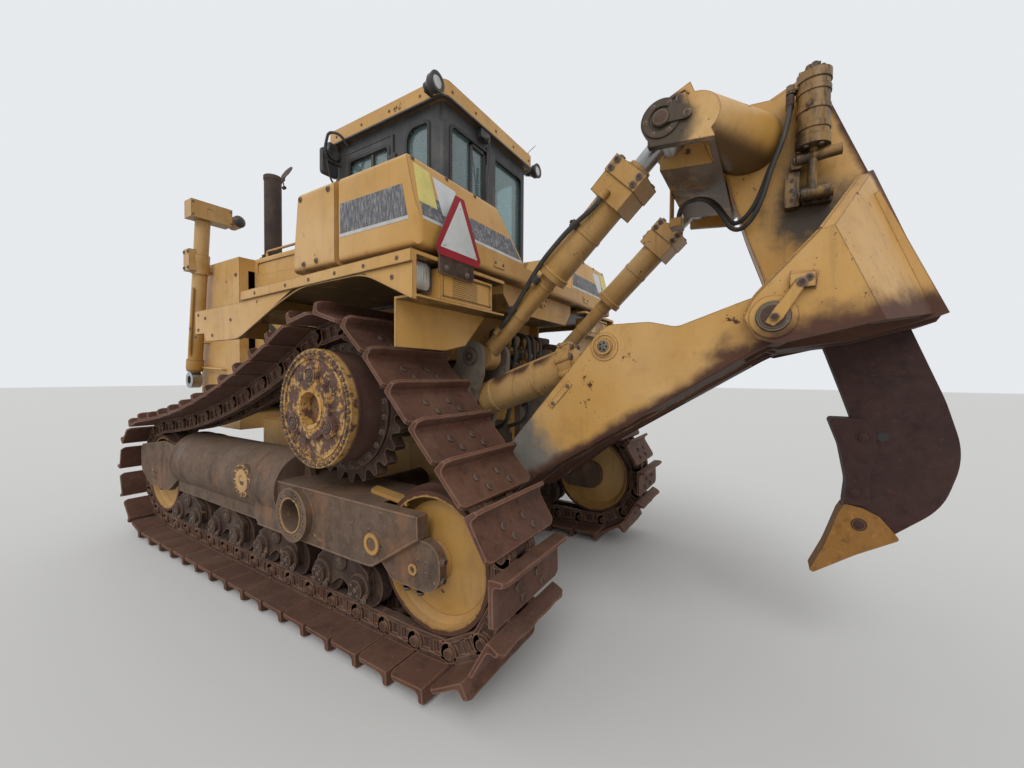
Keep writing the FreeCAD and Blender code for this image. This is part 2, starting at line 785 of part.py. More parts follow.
# Tank across the rear: notched for the view down to the ripper, rounded at its edges
def make_tank():
    outline = [
        (-box_face_x, box_bottom, box_edge), (-box_face_x, box_top, box_edge), (-notch_top_half, box_top),
        (-notch_low_half, notch_z), (notch_low_half, notch_z), (notch_top_half, box_top),
        (box_face_x, box_top, box_edge), (box_face_x, box_bottom, box_edge),
    ]
    body = prism_y(outline, tank_front_y, tank_rear_bottom)
    slope = prism([
        (tank_front_y - 1, box_bottom - 1), (tank_front_y - 1, box_top + 1),
        (tank_rear_top, box_top + 1, box_edge),
        (tank_rear_bottom, tank_crease_z), (tank_rear_bottom, box_bottom - 1, box_edge)],
        -box_face_x - 5, box_face_x + 5)
    plan = prism_z([
        (-box_face_x, tank_front_y), (-box_face_x, tank_rear_bottom, box_edge),
        (box_face_x, tank_rear_bottom, box_edge), (box_face_x, tank_front_y)], box_bottom - 5, box_top + 5)
    cab_room = box(-cab_half - 30, cab_half + 30, tank_front_y - 1, cab_rear_y + 20, box_bottom - 5,
        box_top + 5)
    sump = prism_y([
        (-sump_half, box_bottom + 5), (-sump_half, sump_bottom + 107), (-sump_half + 107, sump_bottom, 30),
        (sump_half - 107, sump_bottom, 30), (sump_half, sump_bottom + 107), (sump_half, box_bottom + 5)],
        sump_front_y, sump_rear_y)
    feet = []
    for side in (1, -1):
        x0, x1 = sorted((side * 760, side * 1300))
        feet.append(prism([(320, deck_at(320)), (700, deck_at(700)), (700, box_bottom + 1),
            (320, box_bottom + 1)], x0, x1))
    return join([body.common(slope).common(plan).cut(cab_room), sump] + feet)


piece("fuel_tank", make_tank())


# Cab: hollow shell with its windows and both doorways cut
side_window = [(-120, sill_z, 20), (130, sill_z, 20), (130, window_top, 45), (-120, window_top, 110)]
front_window = rounded_box(-490, 490, sill_z - 60, window_top - 20, 60)


def rear_window(side):
    """Outline of one rear window, square towards the middle post."""
    outer = side * rear_window_outer
    inner = side * rear_window_inner
    return [
        (inner, rear_sill_z, 20), (outer, rear_sill_z, 60), (outer, window_top - 20, 60),
        (inner, window_top - 20, 20)]


def make_cab():
    shell = box(-cab_half, cab_half, cab_front_y, cab_rear_y, cab_floor, cab_top)
    room = box(
        -cab_half + cab_wall, cab_half - cab_wall, cab_front_y + cab_wall, cab_rear_y - cab_wall,
        cab_floor + cab_wall, cab_top - cab_wall)
    shell = shell.cut(room)
    cuts = []
    for side in (1, -1):
        x0, x1 = sorted((side * (cab_half - cab_wall - 5), side * (cab_half + 5)))
        cuts.append(box(x0, x1, door_front_y, door_rear_y, cab_floor + 90, window_top))
        cuts.append(prism(side_window, x0, x1))
        cuts.append(prism_y(rear_window(side), cab_rear_y - cab_wall - 5, cab_rear_y + 5))
    cuts.append(prism_y(front_window, cab_front_y - 5, cab_front_y + cab_wall + 5))
    shell = shell.cut(cuts)
    corners = prism_z([
        (-cab_half, cab_front_y), (cab_half, cab_front_y), (cab_half, cab_rear_y, cab_corner),
        (-cab_half, cab_rear_y, cab_corner)], cab_floor, cab_top)
    return shell.common(corners)


piece("cab_shell", make_cab())


def make_roof():
    edge = prism_z([
        (-roof_half, roof_front_y, 60), (roof_half, roof_front_y, 60), (roof_half, roof_rear_y, roof_corner),
        (-roof_half, roof_rear_y, roof_corner)],
        cab_top, cab_top + roof_edge)
    crown = prism_y([
        (-roof_half + 10, cab_top + roof_edge - 5), (-roof_half + 160, cab_top + roof_edge + roof_crown),
        (roof_half - 160, cab_top + roof_edge + roof_crown), (roof_half - 10, cab_top + roof_edge - 5)],
        roof_front_y + 60, roof_rear_y - 240)
    return join([edge, crown])


piece("cab_roof", make_roof())

glass_x = cab_half - cab_wall / 2
panes = []
for side in (1, -1):
    x0, x1 = sorted((side * glass_x, side * (glass_x + glass)))
    panes.append(prism(side_window, x0, x1))
    y = cab_rear_y - cab_wall / 2
    panes.append(prism_y(rear_window(side), y, y + glass))
y = cab_front_y + cab_wall / 2
panes.append(prism_y(front_window, y, y + glass))
piece("cab_glass", panes)


def make_door(side):
    x0, x1 = sorted((side * (cab_half - cab_wall + 15), side * cab_half))
    y0 = door_front_y + door_gap
    y1 = door_rear_y - door_gap
    z0 = cab_floor + 90 + door_gap
    z1 = window_top - door_gap
    leaf = box(x0, x1, y0, y1, z0, z1)
    window = rounded_box(y0 + 50, y1 - 50, sill_z, z1 - 50, 45)
    leaf = leaf.cut(prism(window, x0 - 5, x1 + 5))
    hx = side * (cab_half + hinge_radius + seat_gap)
    hy = door_rear_y + hinge_radius
    straps = []
    for z in (z0 + 150, z1 - 250):
        knuckle = bar((hx, hy, z), (hx, hy, z + 100), hinge_radius)
        a, b = sorted((side * cab_half, hx))
        straps.append(box(a, b, y1 - 60, y1, z, z + 100))
        a, b = sorted((side * (cab_half + 6), hx))
        straps.append(box(a, b, y1 - 1, hy, z, z + 100))
        straps.append(knuckle)
    leaf = join([leaf] + straps)
    pane = prism(rounded_box(y0 + 45, y1 - 45, sill_z - 5, z1 - 45, 48), x0 + 15, x0 + 15 + glass)
    return leaf, pane


for name, side in (("left", 1), ("right", -1)):
    leaf, pane = make_door(side)
    piece("door_" + name, leaf.fuse(pane))

seat = join([
    box(-240, 240, -420, 60, cab_floor + 420, cab_floor + 540),
    prism([(20, cab_floor + 480), (110, cab_floor + 480), (180, 3150), (90, 3150)], -230, 230),
    box(-160, 160, -330, -20, cab_floor + cab_wall, cab_floor + 430),
    box(260, 350, -430, 40, cab_floor + 640, cab_floor + 700),
    box(-350, -260, -430, 40, cab_floor + 640, cab_floor + 700),
    box(-350, 350, -100, -40, cab_floor + 500, cab_floor + 530),
    box(290, 330, -100, -40, cab_floor + 500, cab_floor + 660),
    box(-330, -290, -100, -40, cab_floor + 500, cab_floor + 660),
])
piece("seat", seat)
piece("console", join([
    box(-430, 430, cab_front_y + cab_wall, cab_front_y + 260, cab_floor + cab_wall, cab_floor + 520),
    prism([
        (cab_front_y + cab_wall, cab_floor + 500), (cab_front_y + 260, cab_floor + 500),
        (cab_front_y + 200, cab_floor + 680), (cab_front_y + cab_wall, cab_floor + 720)], -250, 250),
]))

# Cab base between the fenders
piece("cab_base", join([
    box(-fender_inner_x + seat_gap, fender_inner_x - seat_gap, hood_rear_y + 2, 300, case_top + 40,
        cab_floor),
    box(-300, 300, -700, 300, case_top, case_top + 45),
]))

# Lamps and mirror on the cab corners
lamps = []
for side in (1, -1):
    x = side * (roof_half + roof_lamp_stand)
    foot = sorted((side * (roof_half + seat_gap), x))
    lamps.append(join([
        box(foot[0], foot[1], roof_lamp_y - 75, roof_lamp_y - 50, roof_lamp_z - 25, roof_lamp_z + 35),
        turned_y([(-60, 0), (-60, 26), (-30, 32), (5, 58), (50, 64), (50, 0)], x, roof_lamp_y, roof_lamp_z),
    ]))
    x = side * (cab_half + 70)
    lamps.append(join([
        box(min(side * cab_half, x), max(side * cab_half, x), cab_front_y + 10, cab_front_y + 50, 3380, 3420),
        bar((x, cab_front_y - 20, 3400), (x, cab_front_y + 70, 3400), 52),
    ]))
piece("cab_lamps", lamps)

# Slow vehicle plate on its bracket behind the tank
plate = prism_y([
    (plate_x - plate_half, plate_low_z + 40), (plate_x - plate_half + 22, plate_low_z),
    (plate_x + plate_half - 22, plate_low_z), (plate_x + plate_half, plate_low_z + 40),
    (plate_x + 34, plate_top_z), (plate_x - 34, plate_top_z)], fender_rear_y + 9, fender_rear_y + 14)
bracket = prism_y(rounded_box(plate_x - 128, plate_x + 150, 2062, plate_low_z + 60, 8),
                  fender_rear_y + seat_gap, fender_rear_y + 9)
piece("vehicle_plate", join([plate, bracket]))

# Lamps in the rear boxes
rear_lamps = []
for side in (1, -1):
    x = side * rear_lamp_x
    z = rear_lamp_z
    rear_lamps.append(join([
        prism_y(rounded_box(x - 62, x + 62, z - 74, z + 74, 34), rear_plate_y + 40, rear_plate_y + 92),
        box(x - 35, x + 35, rear_plate_y + 12 + seat_gap, rear_plate_y + 45, z - 40, z + 40),
    ]))
piece("rear_lamps", rear_lamps)


# Control valve of the ripper: a bank of sections on a shelf behind the case
def make_valve():
    shapes = [
        box(-valve_half - 15, valve_half + 15, case_rear_y - 45, 640, valve_z - 25, valve_z),
        prism([(case_rear_y, 1470), (case_rear_y, valve_z - 20), (620, valve_z - 20),
            (620, valve_z - 45)], -215, -195),
        prism([(case_rear_y, 1470), (case_rear_y, valve_z - 20), (620, valve_z - 20),
            (620, valve_z - 45)], 195, 215),
    ]
    step = 2 * valve_half / valve_sections
    for i in range(valve_sections):
        x = -valve_half + step * (i + 0.5)
        shapes.append(prism([
            (420, valve_z - 1), (420, valve_z + 125, 20), (570, valve_z + 125, 20), (570, valve_z - 1)],
            x - step / 2 + 4, x + step / 2 - 4))
        shapes.append(bar((x, 385, valve_z + 60), (x, 615, valve_z + 60), 27))
        shapes.append(bar((x, 465, valve_z + 120), (x, 465, valve_z + 155), 21))
        shapes.append(bar((x, 530, valve_z + 120), (x, 530, valve_z + 155), 21))
    shapes.append(box(-valve_half, valve_half, 440, 550, valve_z - 1, valve_z + 100))
    return join(shapes)


piece("ripper_valve", make_valve())


# Ripper mount on the rear of the case: cheek plates that carry the pins
def make_mount():
    base = box(250, 740, case_rear_y, case_rear_y + 55, 660, 1600)
    outline = [
        (case_rear_y + 50, 660), (link_hinge[0] - 90, 640), (link_hinge[0] + 95, 640, 90),
        (link_hinge[0] + 95, 850, 85), (520, 1180, 200), (580, 1290, 120), (pitch_base[0] + 88, 1560, 60),
        (pitch_base[0] + 100, 1780, 92), (pitch_base[0] - 84, 1780, 92), (pitch_base[0] - 120, 1640, 60),
        (case_rear_y + 50, 1560),
    ]
    shapes = [base]
    for x0, x1 in mount_plates:
        shapes.append(prism(outline, x0, x1))
    shapes.append(round_x(lift_base[0], lift_base[1], small_pin_radius, mount_plates[0][0],
        mount_plates[1][1] + 12))
    mount = join(shapes)
    mount = mount.cut(round_x(link_hinge[0], link_hinge[1], pin_radius + pin_clearance, 290, 750))
    return mount.cut(round_x(pitch_base[0], pitch_base[1], small_pin_radius + pin_clearance, 290, 750))


piece("ripper_mount", both(make_mount()))


# Lower links: two plates each side, boxed towards the carriage
def make_link():
    hy, hz = link_hinge
    py, pz = link_pin
    outline = [
        (hy - 102, hz + 100, 95), (hy + 25, hz + 150, 120), (935, 1160), (1500, 1821, 120),
        (1726, 1823, 200), (1851, 1791, 90), (2145, 1895, 200), (py + 55, pz + 122, 95),
        (py + 112, pz - 45, 95),
        (2180, 1668), (2004, 1557), (1093, 976), (hy + 70, hz - 100, 95), (hy - 105, hz - 100, 95),
    ]
    shapes = [prism(outline, x0, x1) for x0, x1 in link_plates]
    x0 = link_plates[0][0]
    x1 = link_plates[1][1]
    shapes.append(prism([(1790, 1806), (1851, 1791), (2110, 1883), (2110, 1843), (1851, 1751),
        (1790, 1766)], x0, x1))
    shapes.append(prism([(1700, 1363), (2004, 1557), (2120, 1632), (2120, 1680), (2004, 1605),
        (1700, 1411)], x0, x1))
    shapes.append(round_x(hy, hz, pin_radius, x0 - 12, x1 + 14))
    for a, b in ((x0 - 16, x0 + 2), (x1 - 2, x1 + 20)):
        shapes.append(round_x(lift_pin[0], lift_pin[1], eye_pin_radius, a, b))
    shapes.append(round_x(py, pz, 98, x0, x1))
    link = join(shapes)
    return link.cut(round_x(py, pz, pin_radius + pin_clearance, x0 - 5, x1 + 5))


piece("lower_links", both(make_link()))
link_pin_shape = join([
    round_x(link_pin[0], link_pin[1], pin_radius, wing_plates[0][0], wing_plates[1][1] + 18),
])
piece("link_pins", both(link_pin_shape))


# Cylinders of the ripper, each drawn along the line between its pins
def cylinder_line(start, end):
    return V(0, end[0] - start[0], end[1] - start[1]).normalize()


def line_bar(start, end, a, b, radius):
    p = along(start, end, a)
    q = along(start, end, b)
    return bar(at_x(cylinder_x, p), at_x(cylinder_x, q), radius)


def line_block(start, end, a, b, half_x, half_n):
    u = ((end[0] - start[0]), (end[1] - start[1]))
    size = math.hypot(*u)
    u = (u[0] / size, u[1] / size)
    n = (-u[1], u[0])
    corners = []
    for s, h in ((a, -half_n), (b, -half_n), (b, half_n), (a, half_n)):
        corners.append((start[0] + u[0] * s + n[0] * h, start[1] + u[1] * s + n[1] * h))
    return prism(corners, cylinder_x - half_x, cylinder_x + half_x)


def make_pitch_barrel():
    eye = round_x(pitch_base[0], pitch_base[1], 88, cylinder_x - 60, cylinder_x + 60)
    shapes = [
        eye,
        line_bar(pitch_base, pitch_pin, 40, 730, 58),
        line_bar(pitch_base, pitch_pin, 700, 1250, 92),
        line_bar(pitch_base, pitch_pin, 690, 725, 102),
        line_block(pitch_base, pitch_pin, 1200, 1320, 100, 108),
        line_block(pitch_base, pitch_pin, 1320, 1415, 108, 112),
        bar(beside_pitch(1200, 8, cylinder_x + 117), beside_pitch(1250, 8, cylinder_x + 117), 20),
        bar(beside_pitch(1235, 8, cylinder_x + 60), beside_pitch(1235, 8, cylinder_x + 122), 15),
        bar(beside_pitch(200, 10, cylinder_x + 79), beside_pitch(250, 10, cylinder_x + 79), 20),
        bar(beside_pitch(222, 10, cylinder_x + 30), beside_pitch(222, 10, cylinder_x + 84), 15),
    ]
    barrel = join(shapes)
    barrel = barrel.cut(round_x(pitch_base[0], pitch_base[1], small_pin_radius + pin_clearance, 300, 720))
    return barrel.cut(line_bar(pitch_base, pitch_pin, 760, 1500, 50.5))


def beside_pitch(s, n, x):
    """Point at s along the pitch cylinder and n above its axis."""
    u = cylinder_line(pitch_base, pitch_pin)
    return (x, pitch_base[0] + u.y * s - u.z * n, pitch_base[1] + u.z * s + u.y * n)


# Hose from the head of the pitch barrel down its outer side to the base
def make_pitch_hose():
    outside = cylinder_x + 117
    route = [
        (1200, 8, outside), (1140, 8, outside), (970, 44, outside + 4), (720, 60, outside - 10),
        (480, 30, outside - 36), (330, 10, outside - 38), (250, 10, outside - 38),
    ]
    return hose("pitch_hoses", [beside_pitch(*stop) for stop in route], pitch_hose_radius)


def make_pitch_rod():
    eye = round_x(pitch_pin[0], pitch_pin[1], 90, cylinder_x - 58, cylinder_x + 58)
    stub = round_x(
        pitch_pin[0], pitch_pin[1], eye_pin_radius, horn_plates[0][1] + open_gap, horn_plates[1][0] - open_gap)
    return join([eye, stub, line_bar(pitch_base, pitch_pin, 800, 1560, 50)])


def make_lift_barrel():
    eye = round_x(lift_base[0], lift_base[1], 92, cylinder_x - 62, cylinder_x + 62)
    shapes = [
        eye,
        line_bar(lift_base, lift_pin, 30, 180, 80),
        line_bar(lift_base, lift_pin, 110, 780, 110),
        line_bar(lift_base, lift_pin, 725, 812, 119),
    ]
    barrel = join(shapes)
    barrel = barrel.cut(round_x(lift_base[0], lift_base[1], small_pin_radius + pin_clearance, 300, 720))
    return barrel.cut(line_bar(lift_base, lift_pin, 170, 830, 55.5))


def make_lift_rod():
    eye = round_x(lift_pin[0], lift_pin[1], 100, cylinder_x - 60, cylinder_x + 60)
    stub = round_x(
        lift_pin[0], lift_pin[1], eye_pin_radius, link_plates[0][1] + open_gap, link_plates[1][0] - open_gap)
    return join([eye, stub, line_bar(lift_base, lift_pin, 310, 1000, 55)])


piece("pitch_base_pins", both(round_x(
    pitch_base[0], pitch_base[1], small_pin_radius, mount_plates[0][0], mount_plates[1][1] + 14)))
piece("pitch_barrels", both(make_pitch_barrel()))
piece("pitch_hoses", both(make_pitch_hose()))
piece("pitch_rods", both(make_pitch_rod()))
piece("lift_barrels", both(make_lift_barrel()))
piece("lift_rods", both(make_lift_rod()))


# Ripper carriage: column with the shank pocket, wings, cross cones and horns
beam_outline = [(1690, 2700), (1690, 2860), (1745, 2894), (1885, 2955), (1996, 2669)]


def make_carriage():
    column = prism([
        (1960, 2960), (2036, 3060), (2227, 3045), (2340, 3104), (2446, 3000), (2585, 2645),
        (2895, 1858), (2870, 1815),
        (2560, 1725), (2255, 1700), (2200, 2030), (2196, 2081), (2094, 2376), (2003, 2667)],
        -column_half, column_half)
    half = []
    y, z = link_pin
    inner_plate = prism([
        (y - 105, z), (y - 60, z + 90), (2370, 2130), (2640, 2420), (2880, 1840), (2560, 1735),
        (y + 25, z - 108),
        (y - 60, z - 88)], column_half - 10, wing_plates[0][1])
    outer_plate = prism([
        (y - 108, z + 10), (y - 75, z + 85), (2382, 2135), (2440, 2110), (2570, 1775), (2537, 1761),
        (y + 20, z - 112),
        (y - 65, z - 88)], *wing_plates[1])
    x_out = wing_plates[1][1]
    x_in = column_half - 10
    lines = []
    for x, top, bottom in ((x_out, (2382, 2135), (2537, 1761)), (x_in, (2590, 2560), (2850, 1850))):
        corners = [
            V(x, top[0], top[1]), V(x, bottom[0], bottom[1]), V(x, bottom[0] + 48, bottom[1] + 10),
            V(x, top[0] + 48, top[1] + 10), V(x, top[0], top[1])]
        lines.append(Part.makePolygon(corners))
    slope = Part.makeLoft(lines, True, True)
    half.extend([inner_plate, outer_plate, slope])
    x0 = horn_plates[0][0]
    x1 = horn_plates[1][1]
    neck_start = V(x1 - 10, 1895, 2790)
    neck_line = V(column_half - 20, 2108, 2842) - neck_start
    neck = Part.makeCone(112, 165, neck_line.Length, neck_start, neck_line)
    beyond = box(x1, x1 + 200, 1600, 2300, 2400, 3200)
    eye_room = prism([
        (1500, 2500), (1500, 3100), (1781, 3100), (1850, 2935), (1958, 2680), (2034, 2500)],
        horn_plates[0][1], horn_plates[1][0])
    beam = prism(beam_outline, 0, x1)
    half.append(beam.fuse(neck).cut(beyond).cut(eye_room))
    for a, b in horn_plates:
        half.append(round_x(pitch_pin[0], pitch_pin[1], 100, a, b))
    half.append(round_x(pitch_pin[0], pitch_pin[1], eye_pin_radius, x1 - 2, x1 + 16))
    bore = round_x(y, z, pin_radius + pin_clearance, x_in + 20, x_out + 5)
    side = join(half).cut(bore)
    cap = box(60, column_half - 10, 2330, 2420, 3060, 3150)
    clamp = box(-16, 76, clamp_front_y, clamp_front_y + 70, 2490, 2545)
    strap = box(-16, 76, clamp_front_y, 1690, 2490, 2760)
    body = join([column, side, mirror(side), cap, clamp, strap])
    pocket = prism([(2138.7, 2682), (2441.3, 2682), (2875.5, 1650), (2491.6, 1650)],
                   -shank_half - seat_gap, shank_half + seat_gap)
    return body.cut(pocket)


carriage = make_carriage()
piece("ripper_carriage", carriage)
piece("ripper_shank", prism([
    (2140, 2680, 20), (2440, 2680, 20), (2812, 1796), (2941, 1446, 900), (3010, 1190, 420), (2940, 930, 320),
    (2725, 729, 15), (2562, 879), (2628, 985, 120), (2645, 1180, 500), (2562, 1442, 900), (2485, 1673)],
    -shank_half, shank_half))


def make_protector():
    block = prism([
        (2492, 1345, 18), (2545, 1195, 260), (2578, 1010, 200), (2568, 898), (2672, 898, 30),
        (2668, 1060, 90),
        (2698, 1180, 60), (2690, 1270, 40), (2640, 1345, 25)], -62, 62)
    return block


shank = pieces["ripper_shank"][0]
piece("shank_protector", make_protector().cut(shank))
tip = prism([
    (2428, 512, 4), (2445, 505, 6), (2620, 640, 260), (2790, 752, 14), (2712, 850, 30), (2640, 885, 60),
    (2572, 897, 12), (2548, 850, 40), (2490, 660, 500)], -65, 65)
piece("ripper_tip", tip.cut(shank))


# Pin puller: a small cylinder that stands beside the column and draws the shank's pin
def make_puller():
    face = column_half
    x = face + puller_stand
    y = puller_y
    edge = x - puller_radius + 8
    shapes = [
        bar((x, y, 2705), (x, y, 3055), puller_radius),
        bar((x, y, 3015), (x, y, 3060), puller_radius + 6),
        bar((x, y, 2700), (x, y, 2745), puller_radius + 6),
        bar((x, y, 2478), (x, y, 2710), 22),
        box(face, edge, y - 35, y + 35, 2770, 2810),
        box(face, edge, y - 35, y + 35, 2950, 2990),
        box(x - 26, x + 26, y - 24, y + 24, 3055, 3105),
        prism([(y - 50, 3060), (y - 30, 3165, 15), (y + 30, 3150, 15), (y + 30, 3060)], face - 10, face + 14),
        bar((face, y, 3090), (x + 34, y, 3090), 18),
        bar((x, y - 67, 2655), (x, y + 116, 2668), 27),
        prism([(2277, 2433, 10), (2341, 2433, 10), (2341, 2612, 10), (2277, 2612, 10)], face, face + 60),
        prism([(2300, 2615, 12), (2350, 2615, 12), (2350, 2680, 12), (2300, 2680, 12)], face, x),
        prism([(2350, 2440, 16), (2480, 2440, 16), (2480, 2515, 16), (2350, 2515, 16)], face, face + 40),
        bar((x, y - 47, 2478), (x, y + 85, 2478), 30),
        box(face, x, y + 10, y + 50, 2465, 2492),
    ]
    for hose_x in puller_hose_x:
        shapes.append(bar((hose_x, puller_hose_y, 2985), (hose_x, puller_hose_y, 3025), 18))
        shapes.append(bar((hose_x, puller_hose_y, 3008), (x, y, 3008), 13))
    return join(shapes)


piece("pin_puller", make_puller().cut(carriage))

# Two hoses of the pin puller: down in front of the column and up to the clamp under the beam
upper_route = [
    (264, 2292, 2985), (264, 2292, 2915), (270, 2280, 2825), (268, 2250, 2725), (263, 2213, 2625),
    (256, 2185, 2510), (240, 2145, 2415), (202, 2088, 2364), (150, 2030, 2390), (108, 1988, 2470),
    (78, 1944, 2556), (60, 1888, 2622), (50, 1818, 2642), (46, 1752, 2624), (46, 1728, 2575),
    (46, 1728, 2545),
]
lower_route = [
    (222, 2292, 2985), (222, 2292, 2920), (227, 2280, 2840), (228, 2250, 2750), (224, 2208, 2650),
    (219, 2174, 2545), (208, 2132, 2458), (178, 2074, 2412), (114, 2030, 2434), (64, 1990, 2506),
    (34, 1946, 2588), (20, 1890, 2642), (13, 1820, 2660), (12, 1752, 2636), (12, 1728, 2580),
    (12, 1728, 2545),
]
piece("puller_hose_upper", hose("puller_hose_upper", upper_route, hose_radius))
piece("puller_hose_lower", hose("puller_hose_lower", lower_route, hose_radius))

# Blade lift cylinders, whose blade and push arms are missing
cyl_top = (blade_cyl_y + 76, blade_cyl_z + 510)
cyl_low = (blade_cyl_y - 164, blade_cyl_z - 1110)


def make_blade_cylinder():
    x = blade_cyl_x
    middle = (blade_cyl_y, blade_cyl_z)
    barrel = bar(at_x(x, cyl_low), at_x(x, cyl_top), blade_barrel_radius)
    collar = bar(at_x(x, along(middle, cyl_top, 150)), at_x(x, along(middle, cyl_low, 60)),
        blade_barrel_radius + 14)
    trunnion = round_x(blade_cyl_y, blade_cyl_z, trunnion_pin_radius, nose_half - 55, x)
    clamp = box(x + 40, x + 125, blade_cyl_y - 80, blade_cyl_y + 60, blade_cyl_z - 40, blade_cyl_z + 190)
    gland = bar(at_x(x, cyl_low), at_x(x, along(cyl_low, cyl_top, 110)), blade_barrel_radius + 10)
    barrel = join([barrel, collar, trunnion, clamp, gland])
    bore = bar(at_x(x, along(cyl_low, cyl_top, -20)), at_x(x, along(cyl_low, cyl_top, 1450)),
        blade_rod_radius + 0.5)
    return barrel.cut(bore)


def make_blade_rod():
    x = blade_cyl_x
    rod = bar(at_x(x, along(cyl_low, cyl_top, -60)), at_x(x, along(cyl_low, cyl_top, 1380)), blade_rod_radius)
    centre = along(cyl_low, cyl_top, -120)
    eye = round_x(centre[0], centre[1], 92, x - 48, x + 48)
    return join([rod, eye]).cut(round_x(centre[0], centre[1], 45, x - 55, x + 55))


def make_front_lamp():
    x = blade_cyl_x
    y = cyl_top[0]
    z = cyl_top[1]
    case = box(x - 245, x + 145, y - 60, y + 110, z - 5, z + 180)
    lamp = bar((x - 315, y - 40, z + 75), (x - 315, y + 110, z + 75), 68)
    stem = box(x - 315, x - 240, y + 10, y + 50, z + 50, z + 100)
    return join([case, lamp, stem])


arm_bore = round_x(
    blade_cyl_y, blade_cyl_z, trunnion_pin_radius + pin_clearance, nose_half - 60, nose_half + 5)
guard = pieces["radiator_guard"][0].cut(arm_bore).cut(mirror(arm_bore))
piece("radiator_guard", guard)
lift_barrel_shape = join([make_blade_cylinder(), make_front_lamp()])
for name, flip in (("left", False), ("right", True)):
    for kind, shape in (("barrel", lift_barrel_shape), ("rod", make_blade_rod())):
        piece("blade_%s_%s" % (kind, name), mirror(shape) if flip else shape)

# Rain cap, drawn shut over the stack and then turned open about its pin
def make_rain_cap():
    low = stack_top + 6
    disc = bar((stack_x, stack_y, low), (stack_x, stack_y, low + 5), stack_radius + 4)
    dome = Part.makeCone(stack_radius - 10, stack_radius - 50, 14, V(stack_x, stack_y, low + 4), V(0, 0, 1))
    arm = box(cap_hinge_x, stack_x, stack_y - 14, stack_y + 14, low + 4, low + 16)
    knuckle = bar((cap_hinge_x, stack_y - 20, cap_hinge_z), (cap_hinge_x, stack_y + 20, cap_hinge_z), 13)
    pin = bar((cap_hinge_x, stack_y - 34, cap_hinge_z), (cap_hinge_x, stack_y + 34, cap_hinge_z),
        cap_pin_radius)
    a = math.radians(cap_lever_angle)
    end = (cap_hinge_x + 85 * math.cos(a), stack_y, cap_hinge_z + 85 * math.sin(a))
    lever = bar((cap_hinge_x, stack_y, cap_hinge_z), end, 6)
    weight = bar((end[0], stack_y - 16, end[2]), (end[0], stack_y + 16, end[2]), 18)
    cap = join([disc, dome, arm, knuckle, pin, lever, weight])
    cap.rotate(V(cap_hinge_x, stack_y, cap_hinge_z), V(0, -1, 0), cap_open)
    return cap


piece("rain_cap", make_rain_cap())

# Write every piece in the shared frame, origin under the middle of the part
os.makedirs("parts", exist_ok=True)
for name, solids in pieces.items():
    shape = solids[0] if len(solids) == 1 else Part.makeCompound(solids)
    shape = shape.copy()
    shape.translate(V(0, shift_y, 0))
    shape.exportStep("parts/" + name + ".step")
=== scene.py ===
"""Weathered crawler tractor with a rear ripper: the pieces and finishes that dress its frame."""
import math
import random

import bmesh
import bpy
from mathutils import Matrix, Vector


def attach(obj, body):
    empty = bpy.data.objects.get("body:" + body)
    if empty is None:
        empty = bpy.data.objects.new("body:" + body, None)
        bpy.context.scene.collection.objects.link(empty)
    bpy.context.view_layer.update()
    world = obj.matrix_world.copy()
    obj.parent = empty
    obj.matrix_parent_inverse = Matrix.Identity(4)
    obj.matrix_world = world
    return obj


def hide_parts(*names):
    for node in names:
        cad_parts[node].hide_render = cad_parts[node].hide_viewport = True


bl_info = {
    "name": "Crawler tractor with ripper",
    "version": (1, 0, 0),
    "blender": (4, 5, 0),
    "location": "View3D > Sidebar > Tractor",
    "description": "Builds the bolts, shoes, panels, hoses and weathered finishes of a crawler tractor",
    "category": "Object",
}

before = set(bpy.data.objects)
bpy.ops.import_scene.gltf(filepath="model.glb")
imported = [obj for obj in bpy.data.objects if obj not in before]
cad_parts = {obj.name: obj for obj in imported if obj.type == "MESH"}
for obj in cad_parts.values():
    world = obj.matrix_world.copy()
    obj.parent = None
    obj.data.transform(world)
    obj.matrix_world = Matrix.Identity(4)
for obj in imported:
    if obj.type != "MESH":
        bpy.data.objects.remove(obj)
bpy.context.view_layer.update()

# Places below are in millimetres from the sprocket axis, as a fitter would measure them.
# The sprocket axis lies this far behind the frame's origin.
SPROCKET_Y = 200.0
SPROCKET_Z = 1358.0
TRACK_X = 1125.0
SIDES = (1, -1)
NAMED_SIDES = ((1, "left"), (-1, "right"))


def at(x, y, z):
    """A place in metres in the frame, from millimetres at the sprocket axis."""
    return Vector((x, y + SPROCKET_Y, z)) / 1000


def length(name, size, least, says):
    return bpy.props.FloatProperty(name=name, description=says + " in millimetres", default=size, min=least)


def colour(name, tone, says):
    return bpy.props.FloatVectorProperty(name=name, description=says, subtype="COLOR", default=tone)


class TractorSizes(bpy.types.PropertyGroup):
    """Sizes of the tractor's small pieces."""
    shoe_bolt: length("Shoe bolt", 19.0, 8.0, "Radius of a shoe bolt's head")
    shoe_chips: length("Shoe chips", 7.0, 0.0, "How deep the grouser edges are chipped")
    hub_bolts: bpy.props.IntProperty(
        name="Hub bolts", description="How many bolts stand round the hub's rim", default=46, min=8)
    grille_pitch: length("Grille pitch", 46.0, 20.0, "Distance between the radiator's bars")
    window_seal: length("Window seal", 22.0, 8.0, "Width of the rubber round a window")
    rail_radius: length("Handrail", 13.0, 6.0, "Radius of a handrail")


